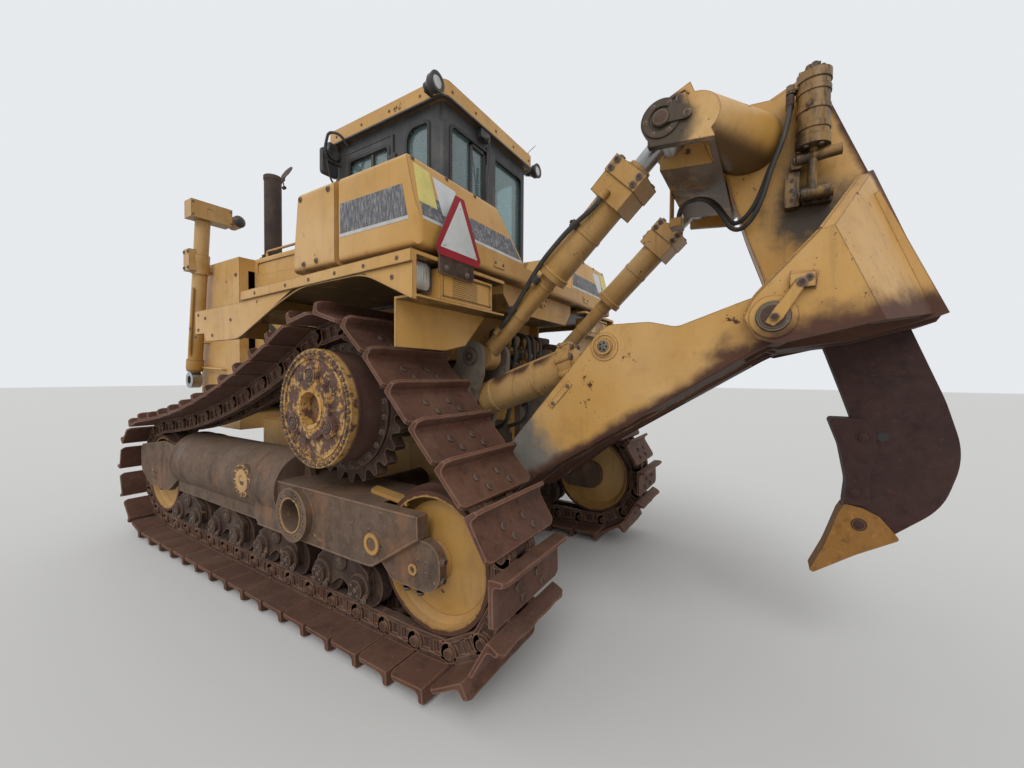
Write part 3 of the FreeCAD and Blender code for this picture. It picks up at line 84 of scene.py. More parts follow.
class TractorColours(bpy.types.PropertyGroup):
    """Colours of the tractor's finishes."""
    yellow: colour("Yellow paint", (0.50, 0.27, 0.065), "Machine paint out of the sun")
    faded: colour("Faded paint", (0.60, 0.37, 0.15), "Machine paint bleached by the sun")
    rust: colour("Rust", (0.11, 0.045, 0.026), "Rust where paint has come off")
    track: colour("Track steel", (0.12, 0.052, 0.034), "Rusted steel of the shoes")
    track_worn: colour("Worn track steel", (0.33, 0.17, 0.105), "Shoes where stones rub them")
    shank: colour("Ripper steel", (0.050, 0.021, 0.017), "Dark rust of the shank")
    dirt: colour("Dried mud", (0.24, 0.17, 0.12), "Dried mud and dust")
    black: colour("Black paint", (0.028, 0.029, 0.032), "Cab and bracket paint")
    red: colour("Red edge", (0.30, 0.002, 0.014), "Edge of the warning triangle")


# Finishes
class Finish:
    """A node material, with a short call for each step of its recipe."""

    def __init__(self, name, slot):
        self.name = name
        self.slot = slot
        self.material = bpy.data.materials.new(name)
        self.material.use_nodes = True
        self.tree = self.material.node_tree
        self.tree.nodes.clear()
        self.shader = self.add("ShaderNodeBsdfPrincipled")
        out = self.add("ShaderNodeOutputMaterial")
        self.tree.links.new(self.shader.outputs[0], out.inputs[0])
        self.place = self.add("ShaderNodeTexCoord").outputs["Object"]
        self.facing = self.add("ShaderNodeNewGeometry").outputs["Normal"]

    def add(self, kind, inputs=None, **settings):
        node = self.tree.nodes.new(kind)
        for key, value in settings.items():
            setattr(node, key, value)
        for key, value in (inputs or {}).items():
            self.feed(node.inputs[key], value)
        return node

    def feed(self, socket, value):
        if isinstance(value, bpy.types.NodeSocket):
            self.tree.links.new(value, socket)
        elif hasattr(socket.default_value, "__len__") and len(socket.default_value) == 4:
            socket.default_value = (*value[:3], 1)
        else:
            socket.default_value = value

    def noise(self, size, detail=4.0, rough=0.55, stretch=None, turn=None, warp=0.0):
        """Soft noise whose spots are about size metres across."""
        vector = self.place
        if stretch or turn:
            inputs = {"Vector": vector, "Scale": stretch or (1, 1, 1), "Rotation": turn or (0, 0, 0)}
            vector = self.add("ShaderNodeMapping", inputs).outputs[0]
        inputs = {"Vector": vector, "Scale": 1 / size, "Detail": detail, "Roughness": rough,
                  "Distortion": warp}
        return self.add("ShaderNodeTexNoise", inputs).outputs[0]

    def mask(self, value, low, high):
        """0 below low, 1 above high, and smooth between them."""
        inputs = {"Value": value, "From Min": low, "From Max": high}
        return self.add("ShaderNodeMapRange", inputs, interpolation_type="SMOOTHSTEP").outputs[0]

    def work(self, kind, a, b):
        return self.add("ShaderNodeMath", {0: a, 1: b}, operation=kind).outputs[0]

    def times(self, a, b):
        return self.work("MULTIPLY", a, b)

    def plus(self, a, b):
        return self.work("ADD", a, b)

    def less(self, a, b):
        return self.work("SUBTRACT", a, b)

    def spread(self, value, low, high):
        """A value from 0 to 1 stretched to lie between low and high."""
        inputs = {"Value": value, "To Min": low, "To Max": high}
        return self.add("ShaderNodeMapRange", inputs).outputs[0]

    def split(self):
        """The place's X, Y and Z."""
        return self.add("ShaderNodeSeparateXYZ", {0: self.place}).outputs

    def from_axle(self, y, z):
        """Distance in metres from an axle across the tractor."""
        place = self.split()
        flat = self.add("ShaderNodeCombineXYZ", {"Y": place["Y"], "Z": place["Z"]}).outputs[0]
        return self.vectors("DISTANCE", flat, at(0, y, z))

    def vectors(self, kind, a, b):
        return self.add("ShaderNodeVectorMath", {0: a, 1: b}, operation=kind).outputs["Value"]

    def mix(self, share, a, b):
        node = self.add("ShaderNodeMix", data_type="RGBA")
        self.feed(node.inputs[0], share)
        self.feed(node.inputs[6], a)
        self.feed(node.inputs[7], b)
        return node.outputs[2]

    def edges(self, radius):
        """1 at the piece's edges and 0 on its faces."""
        rounded = self.add("ShaderNodeBevel", {"Radius": radius}, samples=4).outputs[0]
        meet = self.vectors("DOT_PRODUCT", rounded, self.facing)
        return self.mask(self.less(1.0, meet), 0.01, 0.16)

    def upward(self, low=0.3, high=0.95):
        up = self.add("ShaderNodeSeparateXYZ", {0: self.facing}).outputs["Z"]
        return self.mask(up, low, high)

    def band(self, point, away, near, far):
        """1 at a plane through a point, fading to 0 at the distance far along away."""
        shift = self.add("ShaderNodeVectorMath", {0: self.place, 1: point}, operation="SUBTRACT").outputs[0]
        depth = self.vectors("DOT_PRODUCT", shift, away)
        uneven = self.times(self.less(self.noise(0.12, 5), 0.5), (far - near) * 1.6)
        return self.mask(self.plus(depth, uneven), far, near)

    def spot(self, point, near, far):
        """1 round a point, fading to 0 at the distance far."""
        gap = self.vectors("DISTANCE", self.place, point)
        uneven = self.times(self.less(self.noise(0.08, 5), 0.5), (far - near) * 1.4)
        return self.mask(self.plus(gap, uneven), far, near)

    def most(self, *masks):
        top = masks[0]
        for other in masks[1:]:
            top = self.work("MAXIMUM", top, other)
        return top

    def bump(self, height, depth, strength=1.0):
        inputs = {"Height": height, "Distance": depth, "Strength": strength}
        self.feed(self.shader.inputs["Normal"], self.add("ShaderNodeBump", inputs).outputs[0])

    def set(self, **values):
        for key, value in values.items():
            self.feed(self.shader.inputs[key.replace("_", " ")], value)
        return self


def shaded(colour, share):
    """A colour made darker or lighter."""
    return tuple(c * share for c in colour)


def weathered_paint(name, slot, wear=1.0, scrape=None, grease=None, dirt=0.35, foot=False, shade=1.0,
                    wheels=0.0, underside_shade=0.85):
    """Machine paint with faded patches, runs of dirt, chips to rust and scratches, and painted shade with
    some grime on faces that look down.
    """
    colours = bpy.context.scene.tractor_colours
    f = Finish(name, slot)
    yellow = shaded(colours.yellow, shade)
    faded = shaded(colours.faded, shade)
    deep = tuple(c * s for c, s in zip(yellow, (0.78, 0.72, 0.6)))
    paint = f.mix(f.mask(f.noise(0.9, 3), 0.35, 0.7), yellow, faded)
    paint = f.mix(f.times(f.mask(f.noise(0.16, 6, 0.65), 0.45, 0.75), 0.5), paint, deep)
    paint = f.mix(f.times(f.upward(), 0.35), paint, faded)
    runs = f.mask(f.noise(0.05, 4, 0.6, stretch=(1, 1, 0.07)), 0.52, 0.78)
    paint = f.mix(f.times(runs, dirt), paint, (0.17, 0.10, 0.05))
    low = f.mask(f.noise(0.35, 6, 0.7), 0.5, 0.8)
    paint = f.mix(f.times(low, dirt * 0.8), paint, colours.dirt)
    worn_edge = f.mask(f.times(f.edges(0.010), f.noise(0.05, 5, 0.7)), 0.30, 0.42)
    rubbed = f.mask(f.noise(0.6, 4, 0.6), 0.50 - 0.03 * wear, 0.62 - 0.03 * wear)
    chips = f.times(f.mask(f.noise(0.016, 4, 0.65), 0.70 - 0.02 * wear, 0.73 - 0.02 * wear), rubbed)
    flakes = f.mask(f.noise(0.14, 7, 0.75), 0.675 - 0.02 * wear, 0.695 - 0.02 * wear)
    lines = f.noise(0.11, 5, 0.7, stretch=(1, 5.5, 1), turn=(0.62, 0, 0), warp=0.9)
    scratches = f.times(f.mask(lines, 0.715 - 0.02 * wear, 0.735 - 0.02 * wear), rubbed)
    scratches = f.times(scratches, min(1.0, 0.5 * wear))
    bare = f.most(f.times(worn_edge, min(1.0, 0.55 + 0.3 * wear)), chips, flakes, scratches)
    for share in scrape or []:
        bare = f.most(bare, share(f))
    rust = f.mix(f.noise(0.06, 5, 0.7), colours.rust, shaded(colours.rust, 0.45))
    if wheels:
        gaps = [f.from_axle(y, z) for y, z, _ in (REAR_IDLER, FRONT_IDLER)]
        far = f.plus(f.work("MINIMUM", *gaps), f.times(f.noise(0.03, 6), 0.02))
        bare = f.most(bare, f.mask(far, wheels - 0.006, wheels + 0.006))
    if foot:
        paint = f.mix(link_foot(f), paint, f.mix(f.noise(0.07, 6, 0.7), (0.10, 0.09, 0.078),
                                                 (0.26, 0.245, 0.21)))
    colour = f.mix(bare, paint, rust)
    for share in grease or []:
        colour = f.mix(f.times(share(f), 0.92), colour, (0.016, 0.013, 0.011))
    # Painted shade with some grime: faces that look down are darkened in patches, as if shade fell under
    # them.
    underside_shade_grime = f.mix(f.noise(0.15, 6, 0.7), (0.060, 0.038, 0.024), (0.018, 0.013, 0.011))
    below = f.times(f.upward(-0.35, -0.85), f.mask(f.noise(0.3, 6, 0.7), 0.25, 0.5))
    colour = f.mix(f.times(below, underside_shade), colour, underside_shade_grime)
    dust = f.times(f.upward(0.5, 1.0), f.mask(f.noise(0.25, 5, 0.6), 0.35, 0.7))
    colour = f.mix(f.times(dust, 0.35), colour, colours.dirt)
    rough = f.spread(bare, 0.46, 0.82)
    skin = f.plus(f.times(bare, -0.6), f.times(f.noise(0.01, 3), 0.25))
    dents = f.plus(skin, f.times(f.noise(0.22, 2), 1.2))
    f.bump(dents, 0.004, 0.55)
    return f.set(Base_Color=colour, Roughness=rough, Specular_IOR_Level=0.4)


def rusty_steel(name, slot, colour, worn, shine=0.0, mud=0.5, paint=0.0, blotch=0.0, smooth=False):
    """Rusted steel with worn bright edges, pits and dried mud."""
    colours = bpy.context.scene.tractor_colours
    f = Finish(name, slot)
    dark = shaded(colour, 0.42)
    base = f.mix(f.mask(f.noise(0.5, 5, 0.6), 0.35, 0.65), colour, shaded(colour, 0.68))
    base = f.mix(f.mask(f.noise(0.07, 7, 0.7), 0.48, 0.75), base, dark)
    base = f.mix(f.times(f.mask(f.noise(0.03, 5, 0.7), 0.55, 0.75), 0.6), base, shaded(colour, 1.9))
    if paint:
        left = f.mask(f.noise(0.2, 6, 0.72), 0.60 - 0.12 * paint, 0.64 - 0.12 * paint)
        base = f.mix(left, base, shaded(colours.yellow, 0.85))
    if blotch:
        rusted = f.mask(f.noise(0.35, 7, 0.72, stretch=(1, 1, 0.5)), 0.50, 0.66)
        base = f.mix(f.times(rusted, blotch), base, (0.24, 0.115, 0.055))
        # Painted highlight: blue-grey spots stand in for the sheen of light on the steel.
        painted_highlight_spots = f.mask(f.noise(0.45, 6, 0.7, stretch=(1, 0.6, 1)), 0.54, 0.70)
        base = f.mix(f.times(painted_highlight_spots, blotch), base, (0.17, 0.165, 0.17))
        black = f.mask(f.noise(0.22, 7, 0.75, stretch=(1, 1, 0.3)), 0.52, 0.68)
        base = f.mix(f.times(black, blotch * 0.8), base, (0.035, 0.026, 0.022))
    rubbed = f.mask(f.times(f.edges(0.012), f.noise(0.04, 5, 0.7)), 0.14, 0.40)
    base = f.mix(f.times(rubbed, 0.15 if smooth else 0.9), base, worn)
    scuffs = f.mask(f.noise(0.02, 4, 0.6, stretch=(1, 6, 1), turn=(0.4, 0.2, 0.3)), 0.66, 0.74)
    base = f.mix(f.times(scuffs, 0.1 if smooth else 0.45), base, worn)
    cover = f.times(f.mask(f.noise(0.18, 7, 0.68), 0.42, 0.72), mud)
    base = f.mix(cover, base, colours.dirt)
    if mud:
        base = f.mix(f.times(f.upward(0.4, 1.0), mud * 0.6), base, colours.dirt)
    rough = f.spread(f.noise(0.05, 5), 0.55, 0.9)
    skin = f.plus(f.times(f.noise(0.012, 6, 0.7), 0.8), f.times(f.noise(0.12, 4), 0.7))
    f.bump(skin, 0.0015 if smooth else 0.004, 0.6)
    return f.set(Base_Color=base, Roughness=rough, Metallic=shine, Specular_IOR_Level=0.35)


def hub_paint(name, slot):
    """Final drive paint: flaked to brown rust on its face and side, yellow left on rims and in the bowl."""
    colours = bpy.context.scene.tractor_colours
    f = Finish(name, slot)
    uneven = f.times(f.less(f.noise(0.09, 7, 0.75), 0.5), 0.5)
    far = f.plus(f.from_axle(0, SPROCKET_Z), uneven)
    rim = f.mask(far, 0.29, 0.31)
    bowl = f.mask(far, 0.135, 0.105)
    left = f.mask(f.noise(0.07, 7, 0.78), 0.52, 0.56)
    rust = f.mix(f.noise(0.05, 6, 0.7), (0.15, 0.070, 0.050), (0.055, 0.030, 0.026))
    paint = f.mix(f.mask(f.noise(0.1, 5, 0.7), 0.4, 0.7), shaded(colours.yellow, 0.95), colours.faded)
    face = f.mask(f.work("ABSOLUTE", f.split()["X"], 0), 1.345, 1.365)
    share = f.times(f.most(f.times(left, 0.9), f.times(rim, 0.85), bowl), face)
    chips = f.mask(f.noise(0.03, 6, 0.75), 0.56, 0.60)
    share = f.times(share, f.less(1.0, chips))
    base = f.mix(share, rust, paint)
    base = f.mix(f.times(f.mask(f.noise(0.2, 6, 0.7), 0.5, 0.75), 0.35), base, colours.dirt)
    f.bump(f.plus(f.times(share, 0.8), f.noise(0.012, 5)), 0.002, 0.7)
    return f.set(Base_Color=base, Roughness=0.72, Specular_IOR_Level=0.35)


def plain_skin(name, slot, colour, rough=0.5, vary=0.25, shine=0.0, grain=0.004, dusty=0.25, pits=0.0006):
    """Rubber, plastic, glass beads or black paint: one colour with dust, streaks and fine grain."""
    colours = bpy.context.scene.tractor_colours
    f = Finish(name, slot)
    base = f.mix(f.mask(f.noise(0.2, 5, 0.65), 0.35, 0.7), colour, shaded(colour, 1 - vary))
    streaks = f.mask(f.noise(0.06, 4, 0.6, stretch=(1, 1, 0.15)), 0.5, 0.8)
    base = f.mix(f.times(streaks, dusty), base, colours.dirt)
    base = f.mix(f.times(f.upward(), dusty), base, colours.dirt)
    gloss = f.spread(f.noise(0.08, 5), rough * 0.8, min(1.0, rough * 1.25))
    f.bump(f.noise(grain, 3), pits, 0.7)
    return f.set(Base_Color=base, Roughness=gloss, Metallic=shine)


def black_paint(name, slot):
    """Old black cab paint, greyed and rubbed brown at its edges."""
    colours = bpy.context.scene.tractor_colours
    f = Finish(name, slot)
    base = f.mix(f.mask(f.noise(0.25, 6, 0.7), 0.4, 0.7), colours.black, (0.065, 0.062, 0.060))
    streaks = f.mask(f.noise(0.04, 5, 0.65, stretch=(1, 1, 0.12)), 0.50, 0.75)
    base = f.mix(f.times(streaks, 0.35), base, (0.12, 0.10, 0.085))
    rubbed = f.mask(f.times(f.edges(0.008), f.noise(0.05, 5, 0.7)), 0.30, 0.45)
    base = f.mix(f.times(rubbed, 0.6), base, (0.13, 0.085, 0.06))
    base = f.mix(f.times(f.upward(), 0.45), base, colours.dirt)
    rough = f.spread(f.noise(0.1, 5), 0.38, 0.72)
    f.bump(f.noise(0.008, 4), 0.001, 0.5)
    return f.set(Base_Color=base, Roughness=rough)


def tinted_glass(name, slot):
    """Green tinted cab glass with dust towards its corners."""
    f = Finish(name, slot)
    haze = f.mask(f.noise(0.3, 5, 0.6), 0.45, 0.85)
    rough = f.spread(haze, 0.01, 0.05)
    base = f.mix(haze, (0.42, 0.60, 0.61), (0.50, 0.64, 0.62))
    return f.set(Base_Color=base, Roughness=rough, Transmission_Weight=0.80, IOR=1.30, Coat_Weight=0.6)


def lamp_lens(name, slot):
    """Fluted clear lens over a bright reflector."""
    f = Finish(name, slot)
    flutes = f.add("ShaderNodeTexWave", {"Vector": f.place, "Scale": 28.0, "Distortion": 0.4},
                   bands_direction="X").outputs[1]
    f.bump(flutes, 0.003, 0.8)
    base = f.mix(f.mask(f.noise(0.05, 5), 0.4, 0.7), (0.50, 0.51, 0.49), (0.36, 0.35, 0.31))
    return f.set(Base_Color=base, Roughness=0.18, Metallic=0.25, Coat_Weight=0.8, Coat_Roughness=0.06)


def bare_band(name, slot):
    """The grey band along the boxes, scuffed and peeling."""
    f = Finish(name, slot)
    scuff = f.mask(f.noise(0.02, 5, 0.75, stretch=(1, 1.8, 0.35)), 0.47, 0.62)
    base = f.mix(scuff, (0.085, 0.085, 0.095), (0.27, 0.27, 0.28))
    base = f.mix(f.mask(f.noise(0.25, 4), 0.5, 0.7), base, (0.15, 0.14, 0.15))
    f.bump(scuff, 0.0008, 0.6)
    return f.set(Base_Color=base, Roughness=0.62)


def seat_cloth(name, slot):
    """Dark woven seat cloth."""
    f = Finish(name, slot)
    warp = f.add("ShaderNodeTexWave", {"Vector": f.place, "Scale": 170.0}, bands_direction="X").outputs[1]
    weft = f.add("ShaderNodeTexWave", {"Vector": f.place, "Scale": 170.0}, bands_direction="Z").outputs[1]
    weave = f.times(warp, weft)
    base = f.mix(weave, (0.030, 0.031, 0.034), (0.075, 0.073, 0.070))
    base = f.mix(f.mask(f.noise(0.12, 5), 0.5, 0.8), base, (0.10, 0.085, 0.065))
    f.bump(weave, 0.001, 0.8)
    return f.set(Base_Color=base, Roughness=0.93, Sheen_Weight=0.3)


def link_underside(f):
    """Paint rubbed off in a strip along the lower edge of the links."""
    return f.band(at(0, 1093, 976), (0, -0.538, 0.843), 0.01, 0.065)


def link_foot(f):
    """Paint rubbed to bright steel where the tracks throw stones at the links."""
    low = f.band(at(0, 1110, 1000), (0, 0.70, 0.714), 0.10, 0.27)
    above = f.band(at(0, 1093, 976), (0, -0.538, 0.843), 0.26, 0.42)
    return f.times(low, above)


def lift_rub(f):
    """Paint rubbed off along the top of the lift barrels, where the pitch hoses lie."""
    spots = []
    for side in SIDES:
        for reach in (300, 450, 590):
            spots.append(f.spot(at(*beside(LIFT_BASE, LIFT_PIN, reach, 100, side * 545)), 0.05, 0.11))
    return f.most(*spots)


def link_knee(f):
    return f.spot(at(700, 2100, 1625), 0.04, 0.17)


def wing_underside(f):
    return f.band(at(0, 2235, 1668), (0, -0.285, 0.9585), 0.04, 0.15)


def wing_corner(f):
    return f.spot(at(400, 2700, 1810), 0.06, 0.20)


def column_edge(f):
    return f.band(at(0, 2446, 3000), (0, -0.93, -0.37), 0.0, 0.035)


def rear_keel(f):
    return f.spot(at(0, 2830, 1850), 0.05, 0.26)


def horn_grease(f):
    return f.spot(at(700, 1745, 2780), 0.13, 0.20)


def puller_grease(f):
    """Oil that has run down the pin puller."""
    return f.mask(f.noise(0.07, 6, 0.7, stretch=(1, 1, 0.25)), 0.42, 0.60)


def pin_grease(f):
    return f.most(f.spot(at(170, 2390, 2400), 0.08, 0.26), f.spot(at(60, 2330, 2640), 0.05, 0.16))


finishes = {}


def mix_finishes():
    """Make each finish once and keep it by its plain name."""
    colours = bpy.context.scene.tractor_colours
    paints = {
        "yellow_panel": dict(wear=0.7, dirt=0.22),
        "yellow_frame": dict(wear=1.3, dirt=0.55, shade=0.85),
        "yellow_wheel": dict(wear=0.6, dirt=0.30, shade=0.9, wheels=WHEEL_RIM),
        "oily_paint": dict(wear=1.6, dirt=0.2, shade=0.5, grease=[puller_grease]),
        "yellow_cylinder": dict(wear=2.3, dirt=0.45, shade=0.82, underside_shade=0.4),
        "yellow_lift": dict(wear=2.3, dirt=0.45, shade=0.82, underside_shade=0.4, scrape=[lift_rub]),
        "yellow_link": dict(wear=2.1, dirt=0.2, scrape=[link_underside, link_knee], foot=True),
        "yellow_carriage": dict(
            wear=1.6, dirt=0.25, scrape=[wing_underside, wing_corner, column_edge, rear_keel],
            grease=[horn_grease, pin_grease]),
        "yellow_hub": dict(wear=2.6, dirt=0.6, shade=0.85),
    }
    made = [weathered_paint(name, "yellow_paint", **recipe) for name, recipe in paints.items()]
    made.append(hub_paint("hub_paint", "yellow_paint"))
    for name, slot, tone, worn, recipe in (
            ("track_steel", "track_steel", colours.track, colours.track_worn,
             dict(shine=0.25, mud=0.18, blotch=0.15)),
            ("link_steel", "track_steel", (0.085, 0.045, 0.032), colours.track_worn,
             dict(shine=0.2, mud=0.35)),
            ("frame_steel", "frame_steel", (0.135, 0.085, 0.058), (0.34, 0.21, 0.13),
             dict(shine=0.15, mud=0.35, blotch=0.75, paint=-0.35)),
            ("roller_steel", "frame_steel", (0.055, 0.029, 0.020), (0.22, 0.13, 0.09),
             dict(shine=0.15, mud=0.3, paint=-0.4)),
            ("shank_steel", "bare_steel", colours.shank, (0.085, 0.045, 0.035),
             dict(shine=0.1, mud=0.03, smooth=True)),
            ("tip_steel", "bare_steel", (0.29, 0.135, 0.030), (0.36, 0.20, 0.07),
             dict(shine=0.1, mud=0.15, smooth=True)),
            ("cheek_steel", "bare_steel", (0.235, 0.195, 0.15), (0.36, 0.32, 0.26),
             dict(shine=0.3, mud=0.35, smooth=True)),
            ("stack_steel", "bare_steel", (0.060, 0.040, 0.033), (0.14, 0.10, 0.08),
             dict(shine=0.2, mud=0.12)),
            ("engine_steel", "frame_steel", (0.050, 0.040, 0.032), (0.16, 0.13, 0.10),
             dict(shine=0.2, mud=0.25, paint=0.3)),
            ("bolt_steel", "bare_steel", (0.090, 0.055, 0.040), (0.30, 0.22, 0.17),
             dict(shine=0.4, mud=0.15)),
            ("pin_steel", "bare_steel", (0.20, 0.165, 0.13), (0.42, 0.38, 0.33),
             dict(shine=0.6, mud=0.1, smooth=True))):
        made.append(rusty_steel(name, slot, tone, worn, **recipe))
    for name, slot, tone, recipe in (
            ("chrome", "chrome_rod", (0.34, 0.34, 0.34),
             dict(rough=0.28, vary=0.3, shine=0.9, dusty=0.2, pits=0.0002)),
            ("hose_rubber", "plastic_black", (0.038, 0.035, 0.032), dict(rough=0.62, dusty=0.35)),
            ("seal_rubber", "plastic_black", (0.018, 0.018, 0.018), dict(rough=0.55, dusty=0.12)),
            ("black_plastic", "plastic_black", (0.035, 0.034, 0.033), dict(rough=0.5, dusty=0.2)),
            ("pale_plate", "plate_white", (0.60, 0.62, 0.62), dict(rough=0.45, vary=0.18, dusty=0.14)),
            ("warning_yellow", "yellow_paint", (0.66, 0.56, 0.16), dict(rough=0.5, vary=0.2, dusty=0.16)),
            ("pale_line", "plate_white", (0.58, 0.58, 0.56), dict(rough=0.55, vary=0.3, dusty=0.2)),
            ("red_edge", "plate_white", colours.red, dict(rough=0.5, vary=0.2, dusty=0.02))):
        made.append(plain_skin(name, slot, tone, **recipe))
    made += [
        black_paint("cab_black", "dark_paint"), tinted_glass("tinted_glass", "cab_glass"),
        lamp_lens("lamp_lens", "lamp_glass"), bare_band("bare_band", "dark_paint"),
        seat_cloth("seat_cloth", "seat_cloth"),
    ]
    for f in made:
        finishes[f.name] = f


# Shapes
def pushed(axis, s, u, v):
    """The place at (u, v) of an outline pushed by s along an axis."""
    return {"x": (s, u, v), "y": (u, s, v), "z": (u, v, s)}[axis]


def square_to(out):
    """A direction and two others square to it."""
    out = Vector(out).normalized()
    across = out.cross(Vector((0, 0, 1)) if abs(out.z) < 0.9 else Vector((0, 1, 0))).normalized()
    return out, across, out.cross(across)


def circle(centre, across, up, radius, sides, spin=0.0):
    """Places round a circle."""
    ring = []
    for i in range(sides):
        a = 2 * math.pi * i / sides + spin
        ring.append(centre + (across * math.cos(a) + up * math.sin(a)) * radius)
    return ring


def forms(count):
    """So many empty shapes."""
    return [Form() for _ in range(count)]


def span(side, near, far):
    """Two distances from the middle plane, on one side of it, as a rising pair."""
    return sorted((side * near, side * far))


def on_plane(x, places):
    """(y, z) places set at x."""
    return [(x, y, z) for y, z in places]


def sided(side, places):
    """Places on the left turned into places on one side; only X or the first value changes."""
    return [(side * place[0], *place[1:]) for place in places]


class Form:
    """Closed solids gathered in one mesh, in millimetres at the sprocket axis."""

    def __init__(self):
        self.bm = bmesh.new()

    def loft(self, rings):
        """Skin rings of as many points each, with both ends capped."""
        rows = [[self.bm.verts.new(p) for p in ring] for ring in rings]
        for a, b in zip(rows, rows[1:]):
            self.close_rows(a, b)
        self.bm.faces.new(rows[0][::-1])
        self.bm.faces.new(rows[-1])

    def slab(self, outline, axis, start, end):
        """A flat outline pushed along X, Y or Z."""
        self.loft([[pushed(axis, s, u, v) for u, v in outline] for s in (start, end)])

    def block(self, x0, x1, y0, y1, z0, z1):
        self.slab([(x0, y0), (x1, y0), (x1, y1), (x0, y1)], "z", z0, z1)

    def turned(self, start, out, steps, sides=20, spin=0.0):
        """A turned piece: (distance, radius) steps along its axis from start."""
        out, across, up = square_to(out)
        self.loft([circle(Vector(start) + out * far, across, up, radius, sides, spin) for far,
                   radius in steps])

    def rod(self, a, b, radius, sides=18):
        a = Vector(a)
        b = Vector(b)
        self.turned(a, b - a, [(0, radius), ((b - a).length, radius)], sides)

    def bolt(self, place, out, radius, rise=None, washer=True, spin=0.0):
        """A hexagon head on its washer."""
        rise = rise or radius * 0.75
        if washer:
            self.turned(place, out, [(-1, radius * 1.45), (radius * 0.18, radius * 1.45)], 16)
        self.turned(place, out, [(-1, radius * 1.1), (rise * 0.85, radius * 1.1), (rise, radius * 0.85)],
                    6, spin)

    def bolts(self, places, out, radius, rise=None, washer=True):
        for place in places:
            self.bolt(place, out, radius, rise, washer)

    def bolt_ring(self, x, centre, ring, count, start, radius, rise=None, washer=True, spin=True):
        """Bolts round a circle in the side plane, facing away from the middle."""
        out = (1 if x > 0 else -1, 0, 0)
        for y, z, a in ring_of(centre, ring, count, start):
            self.bolt((x, y, z), out, radius, rise, washer, a if spin else 0.0)

    def hoop(self, centre, out, inner, outer, rise, sides=40):
        """A flat ring standing proud of a face."""
        out, across, up = square_to(out)
        rows = []
        for radius, far in ((inner, 0), (inner, rise), (outer, rise), (outer, 0)):
            ring = circle(Vector(centre) + out * far, across, up, radius, sides)
            rows.append([self.bm.verts.new(p) for p in ring])
        self.close_ring(rows)

    def border(self, outer, inner, axis, start, end):
        """A frame between two outlines of as many points, pushed along X, Y or Z."""
        rows = []
        for outline, s in ((outer, start), (outer, end), (inner, end), (inner, start)):
            rows.append([self.bm.verts.new(pushed(axis, s, u, v)) for u, v in outline])
        self.close_ring(rows)

    def close_ring(self, rows):
        for k in range(4):
            self.close_rows(rows[k], rows[(k + 1) % 4])

    def close_rows(self, a, b):
        for i in range(len(a)):
            j = (i + 1) % len(a)
            self.bm.faces.new((a[i], a[j], b[j], b[i]))

    def pipe(self, points, radius, sides=10, bend=40.0):
        """A round bar or pipe bent at its corners."""
        path = rounded(points, bend)
        rings = []
        across = None
        for i, p in enumerate(path):
            ahead = (path[min(i + 1, len(path) - 1)] - path[max(i - 1, 0)]).normalized()
            if across is None:
                across = ahead.orthogonal().normalized()
            across = (across - ahead * across.dot(ahead)).normalized()
            rings.append(circle(p, across, ahead.cross(across), radius, sides))
        self.loft(rings)

    def done(self, name, finish, body, bevel=0.0, segments=2, smooth=35.0, replaces=()):
        """Turn the solids into one piece that rides on a body."""
        bm = self.bm
        for v in bm.verts:
            v.co = at(*v.co)
        bmesh.ops.recalc_face_normals(bm, faces=bm.faces)
        mesh = bpy.data.meshes.new(name)
        bm.to_mesh(mesh)
        bm.free()
        obj = bpy.data.objects.new(name, mesh)
        bpy.context.scene.collection.objects.link(obj)
        mesh.shade_smooth()
        mesh.set_sharp_from_angle(angle=math.radians(smooth))
        if bevel:
            rounding = obj.modifiers.new("rounding", "BEVEL")
            rounding.width = bevel / 1000
            rounding.segments = segments
            rounding.limit_method = "ANGLE"
            rounding.angle_limit = math.radians(40)
            rounding.harden_normals = True
        return self.dress(obj, finish, body, replaces)

    @staticmethod
    def dress(obj, finish, body, replaces=()):
        obj.data.materials.append(finishes[finish].material)
        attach(obj, body)
        if replaces:
            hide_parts(*replaces)
        return obj


def rounded(points, bend):
    """The points of a path with each corner turned on an arc."""
    points = [Vector(p) for p in points]
    path = [points[0]]
    for a, b, c in zip(points, points[1:], points[2:]):
        back = (a - b).normalized()
        ahead = (c - b).normalized()
        reach = min(bend, (a - b).length * 0.45, (c - b).length * 0.45)
        p = b + back * reach
        q = b + ahead * reach
        for i in range(6):
            t = i / 5
            path.append(p * (1 - t) ** 2 + b * 2 * t * (1 - t) + q * t ** 2)
    path.append(points[-1])
    return path


def ring_of(centre, radius, count, start=0.0):
    """(y, z) places round a circle in the side plane, with each one's angle."""
    for i in range(count):
        a = 2 * math.pi * i / count + math.radians(start)
        yield centre[0] + radius * math.cos(a), centre[1] + radius * math.sin(a), a


# Track loop: the pin line round the rear idler, the sprocket and the front idler
REAR_IDLER = (774.0, 593.5, 447.0)
SPROCKET = (0.0, SPROCKET_Z, 482.5)
FRONT_IDLER = (-2700.0, 593.5, 447.0)
SHOE_COUNT = 43
SHOE_WIDTH = 610.0
TRACK_SAG = 140.0
WHEEL_RIM = 0.350


